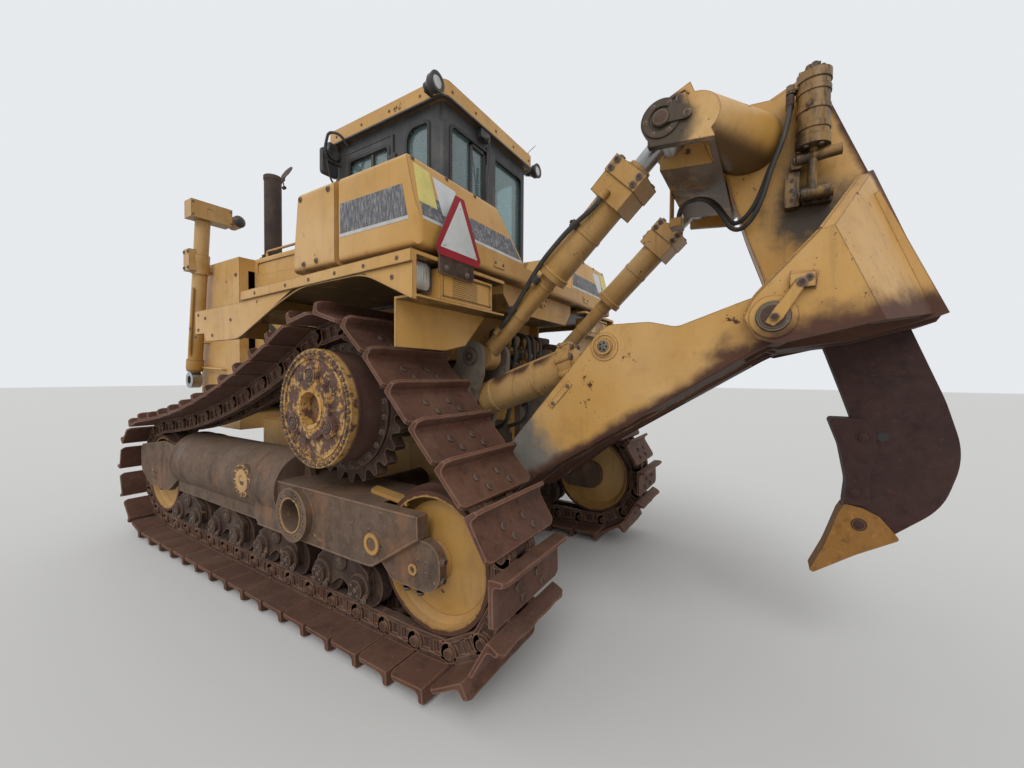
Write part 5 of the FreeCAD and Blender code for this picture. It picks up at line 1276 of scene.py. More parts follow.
class DressCab(bpy.types.Operator):
    """Window rubbers, sliding panes, wiper, mirror, gutter and handles of the cab"""
    bl_idname = "tractor.dress_cab"
    bl_label = "Cab outside"

    def execute(self, context):
        wide = context.scene.tractor_sizes.window_seal
        rubbers, frames, metal, bolts = forms(4)
        for side in SIDES:
            window = (*span(side, *REAR_WINDOW[:2]), *REAR_WINDOW[2:])
            radii = (60, 20, 20, 60) if side > 0 else (20, 60, 60, 20)
            rubbers.border(soft_box(*grown(window, 3), tuple(r + 3 for r in radii)),
                           soft_box(*grown(window, -wide), tuple(max(6, r - wide) for r in radii)), "y",
                           246, 258)
            near, far = span(side, CAB_SIDE - 4, CAB_SIDE + 9)
            rubbers.border(soft_box(*grown(SIDE_WINDOW, 3), (48, 113, 23, 23)),
                           soft_box(*grown(SIDE_WINDOW, -wide), (26, 88, 6, 6)), "x", near, far)
            self.trim_door(side, CAB_SIDE, wide)
        self.add_rear_frames(frames)
        self.add_wiper(metal, bolts)
        self.add_mirror(metal)
        self.add_roof_edge(metal, bolts)
        rubbers.done("window_rubbers", "seal_rubber", "tractor", bevel=2)
        frames.done("sliding_frames", "black_plastic", "tractor", bevel=1.5)
        metal.done("cab_fittings", "cab_black", "tractor", bevel=1.5)
        bolts.done("cab_bolts", "bolt_steel", "tractor")
        return {"FINISHED"}

    @staticmethod
    def trim_door(side, face, wide):
        """Window rubber, sliding pane's bars, handle and strips, which swing with the door."""
        name = "left" if side > 0 else "right"
        body = "cab_door_" + name
        rubber = Form()
        rubber.border(soft_box(*grown(DOOR_WINDOW, 4), 49), soft_box(*grown(DOOR_WINDOW, -wide), 26),
                      "x", *span(side, face - 3, face + 8))
        rubber.done("door_rubber_" + name, "seal_rubber", body, bevel=2)
        bars = Form()
        bars.block(*span(side, face - 20, face - 2), -512, -486, 2690, 3336)
        bars.block(*span(side, face - 20, face - 6), -770, -300, 3318, 3336)
        bars.done("door_pane_bars_" + name, "black_plastic", body, bevel=1.5)
        trim = Form()
        trim.block(*span(side, face - 1, face + 6), -800, -792, 2180, 3380)
        trim.block(*span(side, face - 1, face + 12), -262, -246, 2240, 3400)
        trim.pipe(sided(side, [(face + 2, -775, 2620), (face + 44, -775, 2620), (face + 44, -775, 2380),
                               (face + 2, -775, 2380)]), 9, 10, 26)
        trim.block(*span(side, face - 1, face + 16), -700, -600, 2590, 2622)
        trim.done("door_trim_" + name, "cab_black", body, bevel=1.5)
        bolts = Form()
        places = [(side * (face + 12), -254, z) for z in (2330, 2390, 3175, 3235)]
        bolts.bolts(places, (side, 0, 0), 6, washer=False)
        bolts.done("door_bolts_" + name, "bolt_steel", body)

    @staticmethod
    def add_rear_frames(frames):
        """Sliding pane in the left rear window and the stiff posts beside the glass."""
        for x in (60, 232):
            frames.block(x, x + 26, 230, 246, 2446, 3356)
        frames.block(60, 258, 230, 246, 2446, 2470)
        frames.block(60, 258, 230, 246, 3332, 3356)
        frames.block(-60, 60, 247, 262, 2400, 3400)

    @staticmethod
    def add_wiper(metal, bolts):
        metal.block(70, 190, 250, 300, 3418, 3482)
        metal.turned((118, 280, 3430), (0, 1, 0), [(0, 26), (22, 26), (30, 14), (40, 10)], 20)
        metal.pipe([(118, 312, 3430), (96, 316, 3330), (84, 292, 3150)], 6, 8, 60)
        metal.pipe([(84, 292, 3150), (90, 276, 2920)], 5, 8)
        metal.block(80, 94, 262, 276, 2760, 3240)
        bolts.bolt((118, 322, 3430), (0, 1, 0), 9)

    @staticmethod
    def add_mirror(metal):
        for side in SIDES:
            face = CAB_SIDE
            metal.pipe(sided(side, [(face, -900, 3330), (face + 130, -900, 3330),
                                    (face + 160, -880, 3400), (face + 160, -830, 3520),
                                    (face + 90, -780, 3520), (face + 20, -780, 3460)]), 11, 10, 50)
            metal.pipe(sided(side, [(face, -905, 3100), (face + 90, -905, 3180),
                                    (face + 130, -900, 3330)]), 8, 8, 40)
            metal.loft([[(side * (face + 92 + u), -905 - lift * 0.9, 3330 + v) for u, v in
                         soft_box(-78 + shrink, 78 - shrink, -118 + shrink, 96 - shrink, 26)]
                        for lift, shrink in ((0, 10), (10, 0), (34, 0), (44, 14))])
            metal.block(*span(side, face + 30, face + 110), -960, -890, 3425, 3480)

    @staticmethod
    def add_roof_edge(metal, bolts):
        rim = (-634, 634, -1014, 309)
        metal.border(soft_box(*rim, (74, 74, 64, 64)), soft_box(*grown(rim, -30), (44, 44, 34, 34)), "z",
                     3486, 3499)
        bolts.bolts([(x, 305, 3545) for x in (-540, -270, 0, 270, 540)], (0, 1, 0), 8)
        for side in SIDES:
            bolts.bolts([(side * 630, y, 3545) for y in (-880, -560, -240, 80)], (side, 0, 0), 8)
        metal.pipe([(-560, 280, 3600), (-575, 285, 3650), (-640, 268, 3700), (-742, 262, 3790)], 3, 6, 30)
        metal.turned((-560, 280, 3590), (0, 0, 1), [(0, 14), (30, 12), (40, 7)], 14)


class FurnishCab(bpy.types.Operator):
    """Seat with its cushions, levers, pedals and dials inside the cab"""
    bl_idname = "tractor.furnish_cab"
    bl_label = "Cab inside"

    def execute(self, context):
        self.add_cushion("seat_cushion", (0, -180, 2545), (232, 232, 62), 0.0, True)
        self.add_cushion("seat_back", (0, 98, 2840), (222, 50, 300), math.radians(-13), False)
        for side, name in NAMED_SIDES:
            self.add_cushion("arm_pad_" + name, (side * 305, -195, 2730), (42, 222, 28), 0.0, False)
        stand = Form()
        stand.block(-225, 225, -400, 40, 2470, 2492)
        for x in (-190, 190):
            stand.rod((x, -360, 2200), (x, 0, 2470), 16)
            stand.rod((x, 0, 2200), (x, -360, 2470), 16)
        stand.block(-210, 210, -330, -20, 2121, 2200)
        stand.pipe([(-200, 70, 2490), (-200, 122, 2560), (-200, 170, 2780)], 15, 10, 40)
        stand.pipe([(200, 70, 2490), (200, 122, 2560), (200, 170, 2780)], 15, 10, 40)
        for side in SIDES:
            stand.pipe(sided(side, [(215, -80, 2560), (305, -80, 2560), (305, -80, 2702)]), 14, 10, 40)
        stand.done("seat_stand", "black_plastic", "tractor", bevel=4, replaces=["seat"])
        self.add_controls()
        return {"FINISHED"}

    @staticmethod
    def add_cushion(name, centre, half, lean, panels):
        """A crowned pad: soft edges, sides drawn in, and sewn channels across it."""
        bm = bmesh.new()
        bmesh.ops.create_cube(bm, size=2.0)
        bmesh.ops.subdivide_edges(bm, edges=bm.edges, cuts=15, use_grid_fill=True)
        thin = min(range(3), key=lambda k: half[k])
        for v in bm.verts:
            p = v.co.copy()
            flat = [p[k] for k in range(3) if k != thin]
            edge = max(abs(c) for c in flat)
            corner = abs(flat[0]) ** 4 * abs(flat[1]) ** 4
            crown = 1.0 - 0.42 * edge ** 6 - 0.18 * corner
            drawn = 1.0 - 0.055 * (1 - abs(flat[0]) ** 2) * abs(flat[1]) ** 8
            drawn2 = 1.0 - 0.055 * (1 - abs(flat[1]) ** 2) * abs(flat[0]) ** 8
            out = [0.0, 0.0, 0.0]
            axes = [k for k in range(3) if k != thin]
            out[axes[0]] = p[axes[0]] * drawn2 * half[axes[0]] * (1 - 0.05 * abs(flat[1]) ** 6)
            out[axes[1]] = p[axes[1]] * drawn * half[axes[1]] * (1 - 0.05 * abs(flat[0]) ** 6)
            across = p[axes[1]] * half[axes[1]]
            channel = 0.0
            if half[axes[1]] > 100:
                for line in (-110, 0, 110):
                    channel = max(channel, math.exp(-((across - line) / 9) ** 2))
                for line in (-0.62, 0.62):
                    channel = max(channel, math.exp(-((flat[0] - line) * half[axes[0]] / 8) ** 2))
            out[thin] = p[thin] * half[thin] * crown * (1 - 0.13 * channel)
            v.co = Matrix.Rotation(lean, 3, "X") @ Vector(out)
            v.co = at(*(Vector(centre) + v.co))
        mesh = bpy.data.meshes.new(name)
        bmesh.ops.recalc_face_normals(bm, faces=bm.faces)
        bm.to_mesh(mesh)
        bm.free()
        mesh.shade_smooth()
        obj = bpy.data.objects.new(name, mesh)
        bpy.context.scene.collection.objects.link(obj)
        soften = obj.modifiers.new("soften", "SUBSURF")
        soften.levels = 1
        soften.render_levels = 1
        Form.dress(obj, "seat_cloth", "tractor")

    @staticmethod
    def add_controls():
        knobs = Form()
        for side, x in ((1, 300), (-1, -300)):
            knobs.turned((x, -470, 2690), (0, 0, 1), [(0, 36), (12, 38), (26, 24), (60, 14)], 20)
            knobs.rod((x, -470, 2740), (x - side * 8, -490, 2830), 9)
            knobs.turned((x - side * 8, -490, 2822), (0, -0.2, 1), [(0, 16), (20, 24), (60, 26), (84, 20),
                                                                    (92, 8)], 18)
            knobs.block(*span(side, 240, 360), -540, -410, 2560, 2695)
        for x in (-60, 60, 190):
            knobs.slab([(x - 38, -700), (x + 38, -700), (x + 34, -610), (x - 34, -610)], "z", 2170, 2186)
            knobs.rod((x, -660, 2175), (x, -705, 2300), 9)
        knobs.done("cab_controls", "black_plastic", "tractor", bevel=4)
        dials = Form()
        for x in (-150, -50, 50, 150):
            dials.turned((x, -742, 2668), (0, 0.75, 0.66), [(0, 36), (10, 36), (10, 30), (4, 28)], 24)
        dials.done("cab_dials", "pale_plate", "tractor")


class DressNose(bpy.types.Operator):
    """Radiator bars, handrails, engine pipes and hood bolts"""
    bl_idname = "tractor.dress_nose"
    bl_label = "Nose and hood"

    def execute(self, context):
        sizes = context.scene.tractor_sizes
        bars = Form()
        count = int(1500 / sizes.grille_pitch)
        for i in range(count):
            z = 1140 + i * 1500 / count
            bars.slab([(-3398, z + 4), (-3392, z + 16), (-3364, z + 28), (-3359, z + 22), (-3386, z)],
                      "x", -563, 563)
        for x in (-380, -190, 0, 190, 380):
            bars.block(x - 9, x + 9, -3392, -3362, 1122, 2668)
        bars.done("radiator_bars", "cab_black", "tractor", bevel=1)
        metal, bolts = forms(2)
        for side in SIDES:
            out = (side, 0, 0)
            near = GUARD_SIDE - 5
            far = GUARD_SIDE + 52
            metal.pipe(sided(side, [(near, -3190, 1900), (far, -3190, 1905), (far, -3300, 1880),
                                    (far, -3300, 1620), (far, -2800, 1600), (near, -2800, 1595)]),
                       sizes.rail_radius, 10, 60)
            metal.pipe(on_plane(side * 430, [(-2380, 2798), (-2380, 2870), (-1800, 2870), (-1800, 2798)]),
                       sizes.rail_radius, 10, 50)
            for y in (-3330, -2570):
                bolts.bolts([(side * GUARD_SIDE, y, z) for z in (2600, 2100, 1300)], out, 15)
            for y in (-2440, -2060, -1680, -1300, -1060):
                bolts.bolt((side * HOOD_SIDE, y, 2400), out, 11)
                bolts.bolt((side * 460, y, HOOD_TOP), (0, 0, 1), 11)
            for y in (-2440, -2160, -1880, -1600, -1320, -1040):
                bolts.bolts([(side * HOOD_SIDE, y, 2290), (side * HOOD_SIDE, y, 1600)], out, 11)
            for i in range(9):
                z = 1700 + i * 58
                metal.slab([(-1720, z), (-1720, z + 14), (-1180, z + 14), (-1180, z)], "x",
                           *span(side, HOOD_SIDE - 2, HOOD_SIDE + 8))
        for x in (-500, -250, 0, 250, 500):
            bolts.bolt((x, -2540, 2780), (0, 0, 1), 13)
            bolts.bolts([(x, GUARD_FRONT, 2690), (x, GUARD_FRONT, 1010)], (0, -1, 0), 13, 8)
        metal.turned((-300, -2700, 2779), (0, 0, 1), [(0, 66), (20, 66), (20, 74), (44, 74), (50, 62)], 28)
        metal.done("nose_fittings", "yellow_panel", "tractor", bevel=1.5)
        bolts.done("nose_bolts", "bolt_steel", "tractor")
        self.add_engine_pipes()
        return {"FINISHED"}

    @staticmethod
    def add_engine_pipes():
        """Pipes and filters between the hood's panels and the fenders."""
        pipes = Form()
        for side in SIDES:
            pipes.pipe(sided(side, [(505, -2430, 2250), (560, -2400, 2270), (575, -2260, 2240),
                                    (560, -2120, 2060), (505, -2080, 1980)]), 26, 14, 90)
            pipes.pipe(sided(side, [(505, -2300, 2140), (548, -2280, 2120), (552, -2200, 1900),
                                    (505, -2160, 1800)]), 17, 12, 70)
            pipes.pipe(sided(side, [(505, -2000, 2180), (545, -1980, 2180), (550, -1700, 2140),
                                    (545, -1450, 2160), (505, -1430, 2160)]), 15, 12, 60)
            for y in (-1980, -1860):
                pipes.turned((side * 560, y, 1720), (0, 0, 1), [(0, 40), (8, 48), (200, 48), (206, 54),
                                                                (236, 54), (244, 30)], 24)
        pipes.done("engine_pipes", "hose_rubber", "tractor", smooth=50)


class DressCylinders(bpy.types.Operator):
    """Glands, flanges, clamps and bolts on the ripper and blade cylinders"""
    bl_idname = "tractor.dress_cylinders"
    bl_label = "Cylinders"

    def execute(self, context):
        self.dress_pitch()
        self.dress_lift()
        self.dress_blade()
        return {"FINISHED"}

    @staticmethod
    def dress_pitch():
        metal, bolts, clamps = forms(3)
        u, _ = line_of(PITCH_BASE, PITCH_PIN)
        n = Vector((0, -u.z, u.y))
        for side in SIDES:
            x = side * CYLINDER_X

            def spot(s, lift, shift=0.0, x=x, side=side):
                return Vector(beside(PITCH_BASE, PITCH_PIN, s, lift, x + side * shift))

            base = spot(0, 0)
            for s, radius in ((386, 58), (631, 58), (1010, 92)):
                metal.turned(base + u * (s - 14), u, [(0, radius), (1, radius + 4), (27, radius + 4),
                                                      (28, radius)], 36)
            for s, shift in ((386, 74), (631, 84), (1010, 108)):
                clamps.turned(spot(s - 22, 26 if s < 700 else 40, shift), u, [(0, 24), (44, 24)], 18)
                bolts.bolt(spot(s, 58 if s < 700 else 74, shift - 6), n, 8)
            for s in (1345, 1392):
                for lift in (-84, 84):
                    for hand in (-1, 1):
                        bolts.bolt(spot(s, lift, 108 * hand), (side * hand, 0, 0), 15)
            for shift in (-80, 80):
                for lift in (-84, 84):
                    bolts.bolt(spot(1415, lift, shift), u, 16)
            metal.turned(spot(1412, 0), u, [(0, 78), (14, 78), (14, 66), (34, 62)], 36)
            metal.turned(spot(1318, 0), u, [(0, 112), (7, 112)], 4, math.pi / 4)
            metal.turned(base + u * 1196, u, [(0, 93), (6, 99), (12, 93)], 40)
            metal.turned(base + u * 724, u, [(0, 102), (8, 100), (14, 93)], 40)
            metal.slab([tuple(spot(1236, 106)[1:]), tuple(spot(1306, 106)[1:]), tuple(spot(1306, 140)[1:]),
                        tuple(spot(1236, 140)[1:])], "x", x - 42, x + 42)
            for s, shift in ((1250, -28), (1292, -28), (1250, 28), (1292, 28)):
                bolts.bolt(spot(s, 140, shift), n, 8)
            ring = (side * 694, *PITCH_BASE)
            bolts.hoop((side * 680, *PITCH_BASE), (side, 0, 0), 49.5, 62, 5, 36)
            bolts.turned(ring, (side, 0, 0), [(0, 34), (2, 34), (2, 9), (5, 7)], 28)
        metal.done("pitch_cylinder_metal", "yellow_cylinder", "pitch_barrels", bevel=1.5)
        clamps.done("pitch_hose_clamps", "hose_rubber", "pitch_barrels", bevel=1)
        bolts.done("pitch_cylinder_bolts", "bolt_steel", "pitch_barrels")

    @staticmethod
    def dress_lift():
        metal, bolts = forms(2)
        u, _ = line_of(LIFT_BASE, LIFT_PIN)
        n = Vector((0, -u.z, u.y))
        across = Vector((1, 0, 0))
        for side in SIDES:
            x = side * CYLINDER_X
            base = Vector((x, *LIFT_BASE))
            for k in range(8):
                a = math.radians(22.5 + 45 * k)
                way = across * math.cos(a) + n * math.sin(a)
                metal.turned(base + way * 112 + u * 722, u, [(0, 24), (92, 24)], 18)
                bolts.bolt(base + way * 112 + u * 814, u, 15, 14)
            metal.turned(base + u * 806, u, [(0, 100), (14, 100), (20, 84), (34, 72), (40, 62)], 40)
            metal.turned(base + u * 178, u, [(0, 86), (6, 114), (30, 114), (34, 110)], 40)
            metal.turned(base + u * 520, u, [(0, 110), (2, 114), (26, 114), (28, 110)], 40)
            p = base + u * 726 + n * 100
            q = base + u * 800 + n * 100
            metal.slab([tuple(p[1:]), tuple(q[1:]), tuple((q + n * 50)[1:]), tuple((p + n * 50)[1:])],
                       "x", x - 46, x + 46)
            for s, shift in ((742, -30), (784, -30), (742, 30), (784, 30)):
                bolts.bolt(base + u * s + n * 150 + across * shift, n, 8)
            metal.pipe([base + u * 760 + n * 104 - across * side * 52,
                        base + u * 690 + n * 126 - across * side * 66,
                        base + u * 300 + n * 126 - across * side * 66,
                        base + u * 225 + n * 96 - across * side * 40], 13, 12, 60)
        metal.done("lift_cylinder_metal", "yellow_cylinder", "lift_barrels", bevel=1.5)
        bolts.done("lift_cylinder_bolts", "bolt_steel", "lift_barrels")

    @staticmethod
    def dress_blade():
        for side, name in NAMED_SIDES:
            metal, bolts = forms(2)
            low = Vector((side * BLADE_CYLINDER_X, -3299, 1600))
            top = Vector((side * BLADE_CYLINDER_X, -3059, 3220))
            u = (top - low).normalized()
            metal.turned(low - u * 26, u, [(0, 62), (10, 74), (36, 82), (130, 82)], 36)
            for k in range(8):
                a = math.radians(45 * k)
                way = Vector((1, 0, 0)) * math.cos(a) + u.cross(Vector((1, 0, 0))) * math.sin(a)
                bolts.bolt(low - u * 14 + way * 66, -u, 9)
            metal.pipe([low + u * 160 + Vector((side * 62, 40, 0)),
                        low + u * 220 + Vector((side * 76, 50, 0)),
                        low + u * 900 + Vector((side * 76, 50, 0))], 14, 12, 60)
            for y, z in ((-3195, 2700), (-3095, 2700), (-3195, 2870), (-3095, 2870)):
                bolts.bolt((side * 887, y, z), (side, 0, 0), 14)
            metal.block(*span(side, 520, 905), -3123, -3117, 3216, 3394)
            for dx, dz in ((-230, 3240), (-230, 3370), (130, 3240), (130, 3370)):
                bolts.bolt((side * (BLADE_CYLINDER_X + dx), -2949, dz), (0, 1, 0), 8)
            metal.done("blade_cylinder_metal_" + name, "yellow_cylinder", "blade_barrel_" + name, bevel=1.5)
            bolts.done("blade_cylinder_bolts_" + name, "bolt_steel", "blade_barrel_" + name)
            lens = Form()
            spot = (side * 447, -3101, 3295)
            lens.turned(spot, (0, -1, 0), [(0, 60), (6, 60), (14, 44), (18, 16)], 28)
            lens.done("front_lamp_lens_" + name, "lamp_lens", "blade_barrel_" + name)
            rim = Form()
            rim.hoop((spot[0], -3099, spot[2]), (0, -1, 0), 59, 69, 12, 32)
            rim.turned((spot[0], -2952, spot[2]), (0, 1, 0), [(0, 66), (16, 50), (34, 24)], 28)
            rim.done("front_lamp_rim_" + name, "black_plastic", "blade_barrel_" + name, bevel=1)


class DressLinks(bpy.types.Operator):
    """Pin caps, keepers, bolts and welds of the lower links"""
    bl_idname = "tractor.dress_links"
    bl_label = "Lower links"

    def execute(self, context):
        metal, pins, welds = forms(3)
        seam = [(660, 640), (1093, 988), (2004, 1569), (2160, 1672)]
        for side in SIDES:
            out = (side, 0, 0)
            face = LINK_SIDE
            metal.hoop((side * (face + 20), *LIFT_PIN), out, 30, 43, 3, 28)
            pins.turned((side * (face + 18), *LIFT_PIN), out, [(0, 30), (4, 30), (6, 26)], 24)
            for y, z, a in ring_of(LIFT_PIN, 18, 5):
                pins.turned((side * (face + 21), y, z), out, [(0, 5), (3, 5)], 8)
            metal.hoop((side * face, *LIFT_PIN), out, 58, 74, 4, 36)
            metal.hoop((side * face, *LINK_HINGE), out, 62, 96, 9, 40)
            pins.turned((side * (face + 13), *LINK_HINGE), out, [(0, 56), (6, 56), (8, 50)], 32)
            pins.bolt_ring(side * (face + 8), LINK_HINGE, 79, 6, 30, 10)
            for x in (face + 0.5, LINK_INNER - 0.5):
                welds.pipe(on_plane(side * x, seam), 5, 6, 200)
            for x in (345, 685):
                for ends in ([(1702, 1372), (1996, 1560)], [(1852, 1750), (2100, 1838)]):
                    welds.pipe(on_plane(side * x, ends), 7, 6)
            metal.slab([(1180, 1395), (1300, 1530), (1325, 1508), (1205, 1373)], "x",
                       *span(side, face - 1, face + 6))
            pins.bolts(on_plane(side * (face + 6), ((1210, 1402), (1296, 1500))), out, 8)
        metal.done("link_metal", "yellow_link", "lower_links", bevel=1.5)
        pins.done("link_pins_and_bolts", "pin_steel", "lower_links")
        welds.done("link_welds", "yellow_link", "lower_links")
        return {"FINISHED"}


class DressCarriage(bpy.types.Operator):
    """Pin keepers, caps, brackets and welds of the ripper carriage"""
    bl_idname = "tractor.dress_carriage"
    bl_label = "Ripper carriage"

    def execute(self, context):
        metal, bolts, welds = forms(3)
        for side in SIDES:
            out = (side, 0, 0)
            self.add_pin_keeper(metal, bolts, side, WING_SIDE, out)
            self.add_horn_keeper(metal, bolts, side, out)
            metal.hoop((side * (WING_SIDE - 1), *LINK_PIN), out, 62, 88, 8, 40)
            self.add_wing_welds(welds, side)
        self.add_column_cap(metal, bolts)
        metal.done("carriage_metal", "yellow_carriage", "carriage", bevel=1.5)
        bolts.done("carriage_bolts", "bolt_steel", "carriage")
        welds.done("carriage_welds", "yellow_carriage", "carriage")
        return {"FINISHED"}

    @staticmethod
    def add_wing_welds(welds, side):
        for x in (WING_SIDE + 0.5, 744.5):
            welds.pipe(on_plane(side * x, [(2130, 1815), (2160, 1890), (2380, 2133)]), 5, 6, 60)
        upper, lower = (152, 2592, 2562), (152, 2852, 1852)
        for ends in ([(788, 2384, 2137), upper], [(788, 2539, 1763), lower], [upper, lower]):
            welds.pipe(sided(side, ends), 7, 6)
        for x, seam, radius, bend in (
                (161, [(2010, 2672), (2096, 2378), (2198, 2084), (2204, 2030)], 6, 60),
                (163, [(1990, 2960), (2050, 2860), (2040, 2720)], 8, 60),
                *((x, [(1760, 2880), (1862, 2925), (1880, 2900)], 5, 20) for x in (358, 402, 633, 677))):
            welds.pipe(on_plane(side * x, seam), radius, 6, bend)

    @staticmethod
    def add_pin_keeper(metal, bolts, side, face, out):
        near = face + 19
        metal.slab([(2206, 1780), (2236, 1762), (2268, 1790), (2345, 1925), (2312, 1946), (2240, 1838)],
                   "x", *span(side, near, near + 12))
        metal.block(*span(side, face - 2, face + 26), 2288, 2372, 1912, 1970)
        metal.slab([(2284, 1905), (2376, 1905), (2384, 1976), (2290, 1984)], "x",
                   *span(side, face - 2, face + 8))
        bolts.bolt((side * (near + 12), 2328, 1931), out, 14)
        bolts.bolt((side * (face + 26), 2352, 1948), out, 11)
        bolts.bolt((side * (near + 12), 2240, 1800), out, 16, washer=False)
        bolts.turned((side * (near - 2), *LINK_PIN), out, [(0, 50), (5, 50), (7, 44)], 32)

    @staticmethod
    def add_horn_keeper(metal, bolts, side, out):
        face = HORN_SIDE
        metal.slab([(1768, 2790), (1742, 2812), (1828, 2902), (1868, 2906), (1896, 2800), (1872, 2782)],
                   "x", *span(side, face - 2, face + 14))
        metal.hoop((side * face, *PITCH_PIN), out, 58, 92, 7, 36)
        bolts.turned((side * (face + 15), *PITCH_PIN), out, [(0, 36), (6, 36), (8, 30)], 28)
        for y, z in ((1842, 2886), (1876, 2806)):
            bolts.bolt((side * (face + 14), y, z), out, 13)
        for y, z, a in ring_of(PITCH_PIN, 76, 6, 0):
            bolts.bolt((side * (face + 6), y, z), out, 8, spin=a)

    @staticmethod
    def add_column_cap(metal, bolts):
        metal.slab([(2212, 3040), (2344, 3100), (2336, 3116), (2206, 3056)], "x", -150, 150)
        for x in (-120, 0, 40):
            for y, z in ((2240, 3070), (2310, 3102)):
                bolts.bolt((x, y, z), (0, -0.41, 0.91), 14)
        metal.block(-176, -158, 2300, 2400, 2700, 2830)
        for z in (2725, 2805):
            bolts.bolt((-176, 2350, z), (-1, 0, 0), 11)
        for x in (-1, 61):
            bolts.bolt((x, 1692, 2700), (0, -1, 0), 8)
        metal.block(-22, 82, 1722, 1752, 2484, 2496)


class DressShank(bpy.types.Operator):
    """Pins of the ripper tip and protector, and the shank's adjusting bores, shown by dark discs of painted
    shade
    """
    bl_idname = "tractor.dress_shank"
    bl_label = "Shank"

    def execute(self, context):
        pins, hole_shade = forms(2)
        for side in SIDES:
            out = (side, 0, 0)
            for y, z, face in ((2610, 960, 62), (2640, 1250, 62), (2630, 800, 65)):
                pins.turned((side * (face - 1), y, z), out, [(0, 24), (4, 24), (7, 17)], 20)
                pins.hoop((side * (face - 1), y, z), out, 27, 33, 3, 24)
            # Painted shade: each adjusting bore is a dark disc with a steel rim round it.
            for y, z in ((2718, 1257), (2685, 823)):
                hole_shade.turned((side * 44.5, y, z), out, [(0, 22), (1, 22)], 24)
                pins.hoop((side * 44.5, y, z), out, 22, 28, 2, 24)
        pins.done("shank_pins", "shank_steel", "carriage", bevel=1)
        hole_shade.done("shank_hole_shade", "seal_rubber", "carriage")
        return {"FINISHED"}


class DressPuller(bpy.types.Operator):
    """Bands, bolts and fittings of the pin puller"""
    bl_idname = "tractor.dress_puller"
    bl_label = "Pin puller"

    def execute(self, context):
        metal, bolts = forms(2)
        x, y = PULLER
        for z in (2790, 2880, 2970):
            metal.turned((x, y, z - 14), (0, 0, 1), [(0, 68), (1, 73), (27, 73), (28, 68)], 32)
        for z in (2720, 3040):
            for x2, y2, a in ring_of((x, y), 60, 6, 30):
                bolts.bolt((x2, y2, z + 25 if z > 3000 else z - 26), (0, 0, 1 if z > 3000 else -1), 8,
                           spin=a)
        for z in (2655, 2478):
            bolts.turned((x, 2318 if z > 2600 else 2340, z), (0, -1, 0), [(0, 18), (6, 18), (9, 12)], 16)
        for z in (2470, 2520, 2570):
            bolts.bolt((220, 2309, z), (1, 0, 0), 9)
        for hose_x in (222, 264):
            bolts.turned((hose_x, 2292, 2930), (0, 0, 1), [(0, 15), (4, 18), (44, 18), (50, 14)], 16)
            bolts.turned((hose_x, 2292, 2986), (0, 0, 1), [(0, 21), (16, 21)], 6)
        metal.done("puller_bands", "oily_paint", "carriage", bevel=1)
        bolts.done("puller_bolts", "bolt_steel", "carriage")
        return {"FINISHED"}


UPPER_ROUTE = [
    (264, 2292, 2985), (264, 2292, 2915), (270, 2280, 2825), (268, 2250, 2725), (263, 2213, 2625),
    (256, 2185, 2510), (240, 2145, 2415), (202, 2088, 2364), (150, 2030, 2390), (108, 1988, 2470),
    (78, 1944, 2556), (60, 1888, 2622), (50, 1818, 2642), (46, 1752, 2624), (46, 1728, 2575),
    (46, 1728, 2545),
]
LOWER_ROUTE = [
    (222, 2292, 2985), (222, 2292, 2920), (227, 2280, 2840), (228, 2250, 2750), (224, 2208, 2650),
    (219, 2174, 2545), (208, 2132, 2458), (178, 2074, 2412), (114, 2030, 2434), (64, 1990, 2506),
    (34, 1946, 2588), (20, 1890, 2642), (13, 1820, 2660), (12, 1752, 2636), (12, 1728, 2580),
    (12, 1728, 2545),
]


class HangHoses(bpy.types.Operator):
    """Hang the pin puller's two hoses"""
    bl_idname = "tractor.hang_hoses"
    bl_label = "Hoses"

    def execute(self, context):
        for name, route, length in (("upper", UPPER_ROUTE, 1.260), ("lower", LOWER_ROUTE, 1.213)):
            hose = self.smooth_line("hose_" + name, route, 12.5)
            Form.dress(hose, "hose_rubber", "carriage", ["puller_hose_" + name])
            tuple(at(*route[0]))
        return {"FINISHED"}

    @staticmethod
    def smooth_line(name, route, radius):
        curve = bpy.data.curves.new(name, "CURVE")
        curve.dimensions = "3D"
        curve.resolution_u = 8
        spline = curve.splines.new("NURBS")
        spline.points.add(len(route) - 1)
        for point, place in zip(spline.points, route):
            point.co = (*at(*place), 1)
        spline.order_u = 3
        spline.use_endpoint_u = True
        curve.bevel_depth = radius / 1000
        curve.bevel_resolution = 4
        curve.use_fill_caps = True
        hose = bpy.data.objects.new(name, curve)
        bpy.context.scene.collection.objects.link(hose)
        return hose


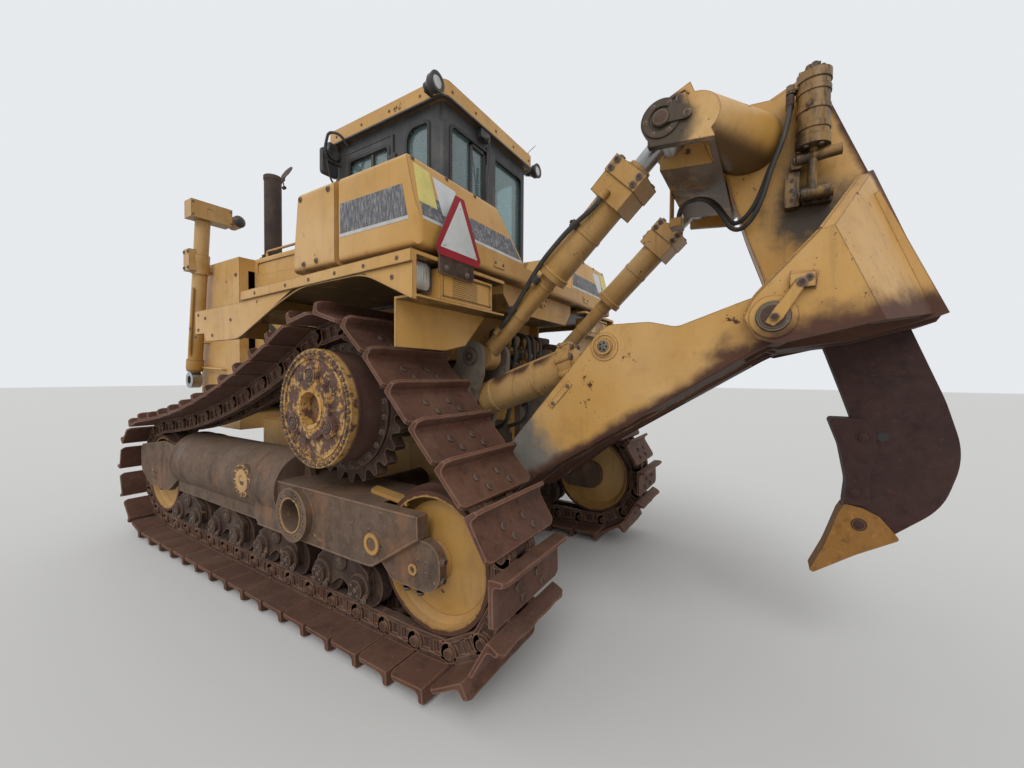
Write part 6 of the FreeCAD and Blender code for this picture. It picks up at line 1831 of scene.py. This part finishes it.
class DressValve(bpy.types.Operator):
    """Pipes, caps and bolts round the ripper valve behind the case"""
    bl_idname = "tractor.dress_valve"
    bl_label = "Ripper valve"

    def execute(self, context):
        luck = random.Random(5)
        pipes, fittings = forms(2)
        shelf = VALVE_SHELF
        for i in range(4):
            x = -165 + 110 * i
            for y in (465, 530):
                top = shelf + 155
                fittings.turned((x, y, top - 30), (0, 0, 1), [(0, 26), (18, 26)], 6)
                fittings.turned((x, y, top), (0, 0, 1), [(0, 17), (22, 17)], 6)
                lean = luck.uniform(-40, 40)
                if y == 465:
                    pipes.pipe([(x, y, top + 18), (x, y, top + 86), (x + lean, 400, top + 108),
                                (x + lean, 372, top - 60), (x + lean, 372, 1560)], 13, 12, 46)
                else:
                    reach = 640 + luck.uniform(-14, 20)
                    pipes.pipe([(x, y, top + 18), (x, y + 16, top + 66 + 9 * i),
                                (x + lean, reach, top + 50), (x + lean * 1.6, reach + 10, 1660),
                                (x + lean * 1.6, 600, 1570), (x, 420, 1540), (x, 352, 1530)], 13, 12, 60)
            fittings.turned((x, 614, shelf + 60), (0, 1, 0), [(0, 24), (14, 24)], 6)
            fittings.turned((x, 386, shelf + 60), (0, -1, 0), [(0, 24), (14, 24)], 6)
            for dz in (26, 96):
                fittings.bolt((x, 570, shelf + dz), (0, 1, 0), 8)
        for side in SIDES:
            pipes.pipe(sided(side, [(236, 500, 1730), (270, 500, 1730), (290, 440, 1760),
                                    (290, 372, 1700), (290, 352, 1640)]), 17, 12, 50)
            pipes.pipe(sided(side, [(120, 352, 1420), (120, 470, 1400), (150, 560, 1330),
                                    (150, 520, 1180), (120, 352, 1120)]), 17, 12, 70)
            pipes.pipe(sided(side, [(300, 352, 1560), (262, 470, 1540), (262, 520, 1400),
                                    (285, 440, 1300), (285, 352, 1280)]), 15, 12, 60)
        self.add_case_covers(fittings)
        pipes.done("valve_pipes", "hose_rubber", "tractor", smooth=50)
        fittings.done("valve_fittings", "engine_steel", "tractor", bevel=1)
        return {"FINISHED"}

    @staticmethod
    def add_case_covers(fittings):
        """Bolted covers on the rear face of the case."""
        for x, z, radius in ((0, 1000, 190), (0, 1440, 90)):
            fittings.turned((x, CASE_REAR - 3, z), (0, 1, 0), [(0, radius), (16, radius),
                                                               (20, radius - 8)], 40)
            for u, v, a in ring_of((x, z), radius - 24, 12 if radius > 100 else 8):
                fittings.bolt((u, CASE_REAR + 16, v), (0, 1, 0), 12, spin=a)
        for x in (-200, 200):
            for z in (700, 820):
                fittings.turned((x, CASE_REAR - 3, z), (0, 1, 0), [(0, 30), (12, 30), (12, 20), (26, 20)],
                                6)


class DressBelly(bpy.types.Operator):
    """Bolts of the belly guard and stops on the equalizer bar"""
    bl_idname = "tractor.dress_belly"
    bl_label = "Belly guard"

    def execute(self, context):
        bolts = Form()
        for y in (-2420, -2120, -1820, -1520, -1220, -960):
            z = 600 - 20 * (y + 2490) / 1740 if y < -750 else 580
            for x in (-370, -130, 130, 370):
                bolts.bolt((x, y, z + 1), (0, 0, -1), 16)
        for side in SIDES:
            for y in (-2170, -2030):
                bolts.bolt((side * 500, y - 10 if y < -2100 else y + 10, 720),
                           (0, -1 if y < -2100 else 1, 0), 16)
        bolts.done("belly_bolts", "bolt_steel", "tractor")
        return {"FINISHED"}


# The photograph's camera: place in metres, yaw, pitch and roll in radians, lens for a 36 mm sensor
PHOTO_PLACE = (2.786, 2.422, 1.558)
PHOTO_TURN = (0.5597, -0.0218, 0.0066)
PHOTO_LENS = 14.375


class BuildFloor(bpy.types.Operator):
    """Set out the floor, the soft light and the camera"""
    bl_idname = "tractor.build_floor"
    bl_label = "Stage"

    def execute(self, context):
        scene = context.scene
        scene.view_settings.view_transform = "Standard"
        mesh = bpy.data.meshes.new("floor")
        half = 60.0
        mesh.from_pydata([(-half, -half, 0), (half, -half, 0), (half, half, 0), (-half, half, 0)], [],
                         [(0, 1, 2, 3)])
        floor = bpy.data.objects.new("floor", mesh)
        floor.location.z = -0.002
        scene.collection.objects.link(floor)
        paving = bpy.data.materials.new("floor_pale")
        paving.use_nodes = True
        shader = paving.node_tree.nodes["Principled BSDF"]
        shader.inputs["Base Color"].default_value = (0.60, 0.60, 0.59, 1)
        shader.inputs["Roughness"].default_value = 0.9
        floor.data.materials.append(paving)
        self.light_sky(scene)
        for name, power, spread, turn in (
                ("key_light", 1.35, 40, (math.radians(46), 0, math.radians(118))),
                ("fill_light", 0.45, 80, (math.radians(62), 0, math.radians(20)))):
            lamp = bpy.data.lights.new(name, "SUN")
            lamp.energy = power
            lamp.angle = math.radians(spread)
            holder = bpy.data.objects.new(name, lamp)
            holder.rotation_euler = turn
            scene.collection.objects.link(holder)
        camera = bpy.data.cameras.new("photo_camera")
        camera.lens = PHOTO_LENS
        camera.sensor_width = 36
        camera.clip_end = 200
        holder = bpy.data.objects.new("photo_camera", camera)
        yaw, pitch, roll = PHOTO_TURN
        ahead = Vector((-math.cos(yaw) * math.cos(pitch), -math.sin(yaw) * math.cos(pitch),
                        math.sin(pitch)))
        right = ahead.cross(Vector((0, 0, 1))).normalized()
        up = right.cross(ahead)
        right, up = (right * math.cos(roll) + up * math.sin(roll),
                     up * math.cos(roll) - right * math.sin(roll))
        turn = Matrix((right, up, -ahead)).transposed().to_4x4()
        holder.matrix_world = Matrix.Translation(PHOTO_PLACE) @ turn
        scene.collection.objects.link(holder)
        scene.camera = holder
        return {"FINISHED"}

    @staticmethod
    def light_sky(scene):
        """Even light from all round, and a pale sky where the camera, gloss or glass sees it."""
        sky = bpy.data.worlds.new("pale_sky")
        scene.world = sky
        sky.use_nodes = True
        tree = sky.node_tree
        tree.nodes.clear()
        path = tree.nodes.new("ShaderNodeLightPath")
        seen = path.outputs["Is Camera Ray"]
        for ray in ("Is Transmission Ray", "Is Glossy Ray"):
            either = tree.nodes.new("ShaderNodeMath")
            either.operation = "MAXIMUM"
            tree.links.new(seen, either.inputs[0])
            tree.links.new(path.outputs[ray], either.inputs[1])
            seen = either.outputs[0]
        both = tree.nodes.new("ShaderNodeMixShader")
        tree.links.new(seen, both.inputs[0])
        for socket, tone, strength in ((1, (1.0, 1.0, 1.0, 1), 0.62), (2, (0.80, 0.82, 0.85, 1), 1.0)):
            light = tree.nodes.new("ShaderNodeBackground")
            light.inputs["Color"].default_value = tone
            light.inputs["Strength"].default_value = strength
            tree.links.new(light.outputs[0], both.inputs[socket])
        out = tree.nodes.new("ShaderNodeOutputWorld")
        tree.links.new(both.outputs[0], out.inputs[0])


class TractorPanel(bpy.types.Panel):
    """The tractor's sizes, colours and build steps"""
    bl_idname = "VIEW3D_PT_tractor"
    bl_label = "Tractor"
    bl_space_type = "VIEW_3D"
    bl_region_type = "UI"
    bl_category = "Tractor"

    def draw(self, context):
        layout = self.layout
        for group in (context.scene.tractor_sizes, context.scene.tractor_colours):
            box = layout.box()
            for name in group.bl_rna.properties.keys():
                if name not in ("rna_type", "name"):
                    box.prop(group, name)
        for step in STEPS:
            layout.operator(step.bl_idname)


STEPS = [
    BuildFloor, HangHoses, PaintFrame, BuildTracks, BuildHubs, DressTrackFrames, DressRollers, DressFenders,
    DressBoxes, DressLamps, DressCab, FurnishCab, DressNose, DressCylinders, DressLinks, DressCarriage,
    DressShank, DressPuller, DressValve, DressBelly,
]
CLASSES = [TractorSizes, TractorColours, *STEPS, TractorPanel]


def register():
    for cls in CLASSES:
        bpy.utils.register_class(cls)
    bpy.types.Scene.tractor_sizes = bpy.props.PointerProperty(type=TractorSizes)
    bpy.types.Scene.tractor_colours = bpy.props.PointerProperty(type=TractorColours)


def unregister():
    del bpy.types.Scene.tractor_colours
    del bpy.types.Scene.tractor_sizes
    for cls in reversed(CLASSES):
        bpy.utils.unregister_class(cls)


def strip_frame():
    """Take the plain colours off the carried-over solids."""
    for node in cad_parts.values():
        node.data.materials.clear()
    for old in list(bpy.data.materials):
        bpy.data.materials.remove(old)


def main():
    register()
    strip_frame()
    mix_finishes()
    for step in STEPS:
        group, name = step.bl_idname.split(".")
        getattr(getattr(bpy.ops, group), name)()


if __name__ == "__main__":
    main()
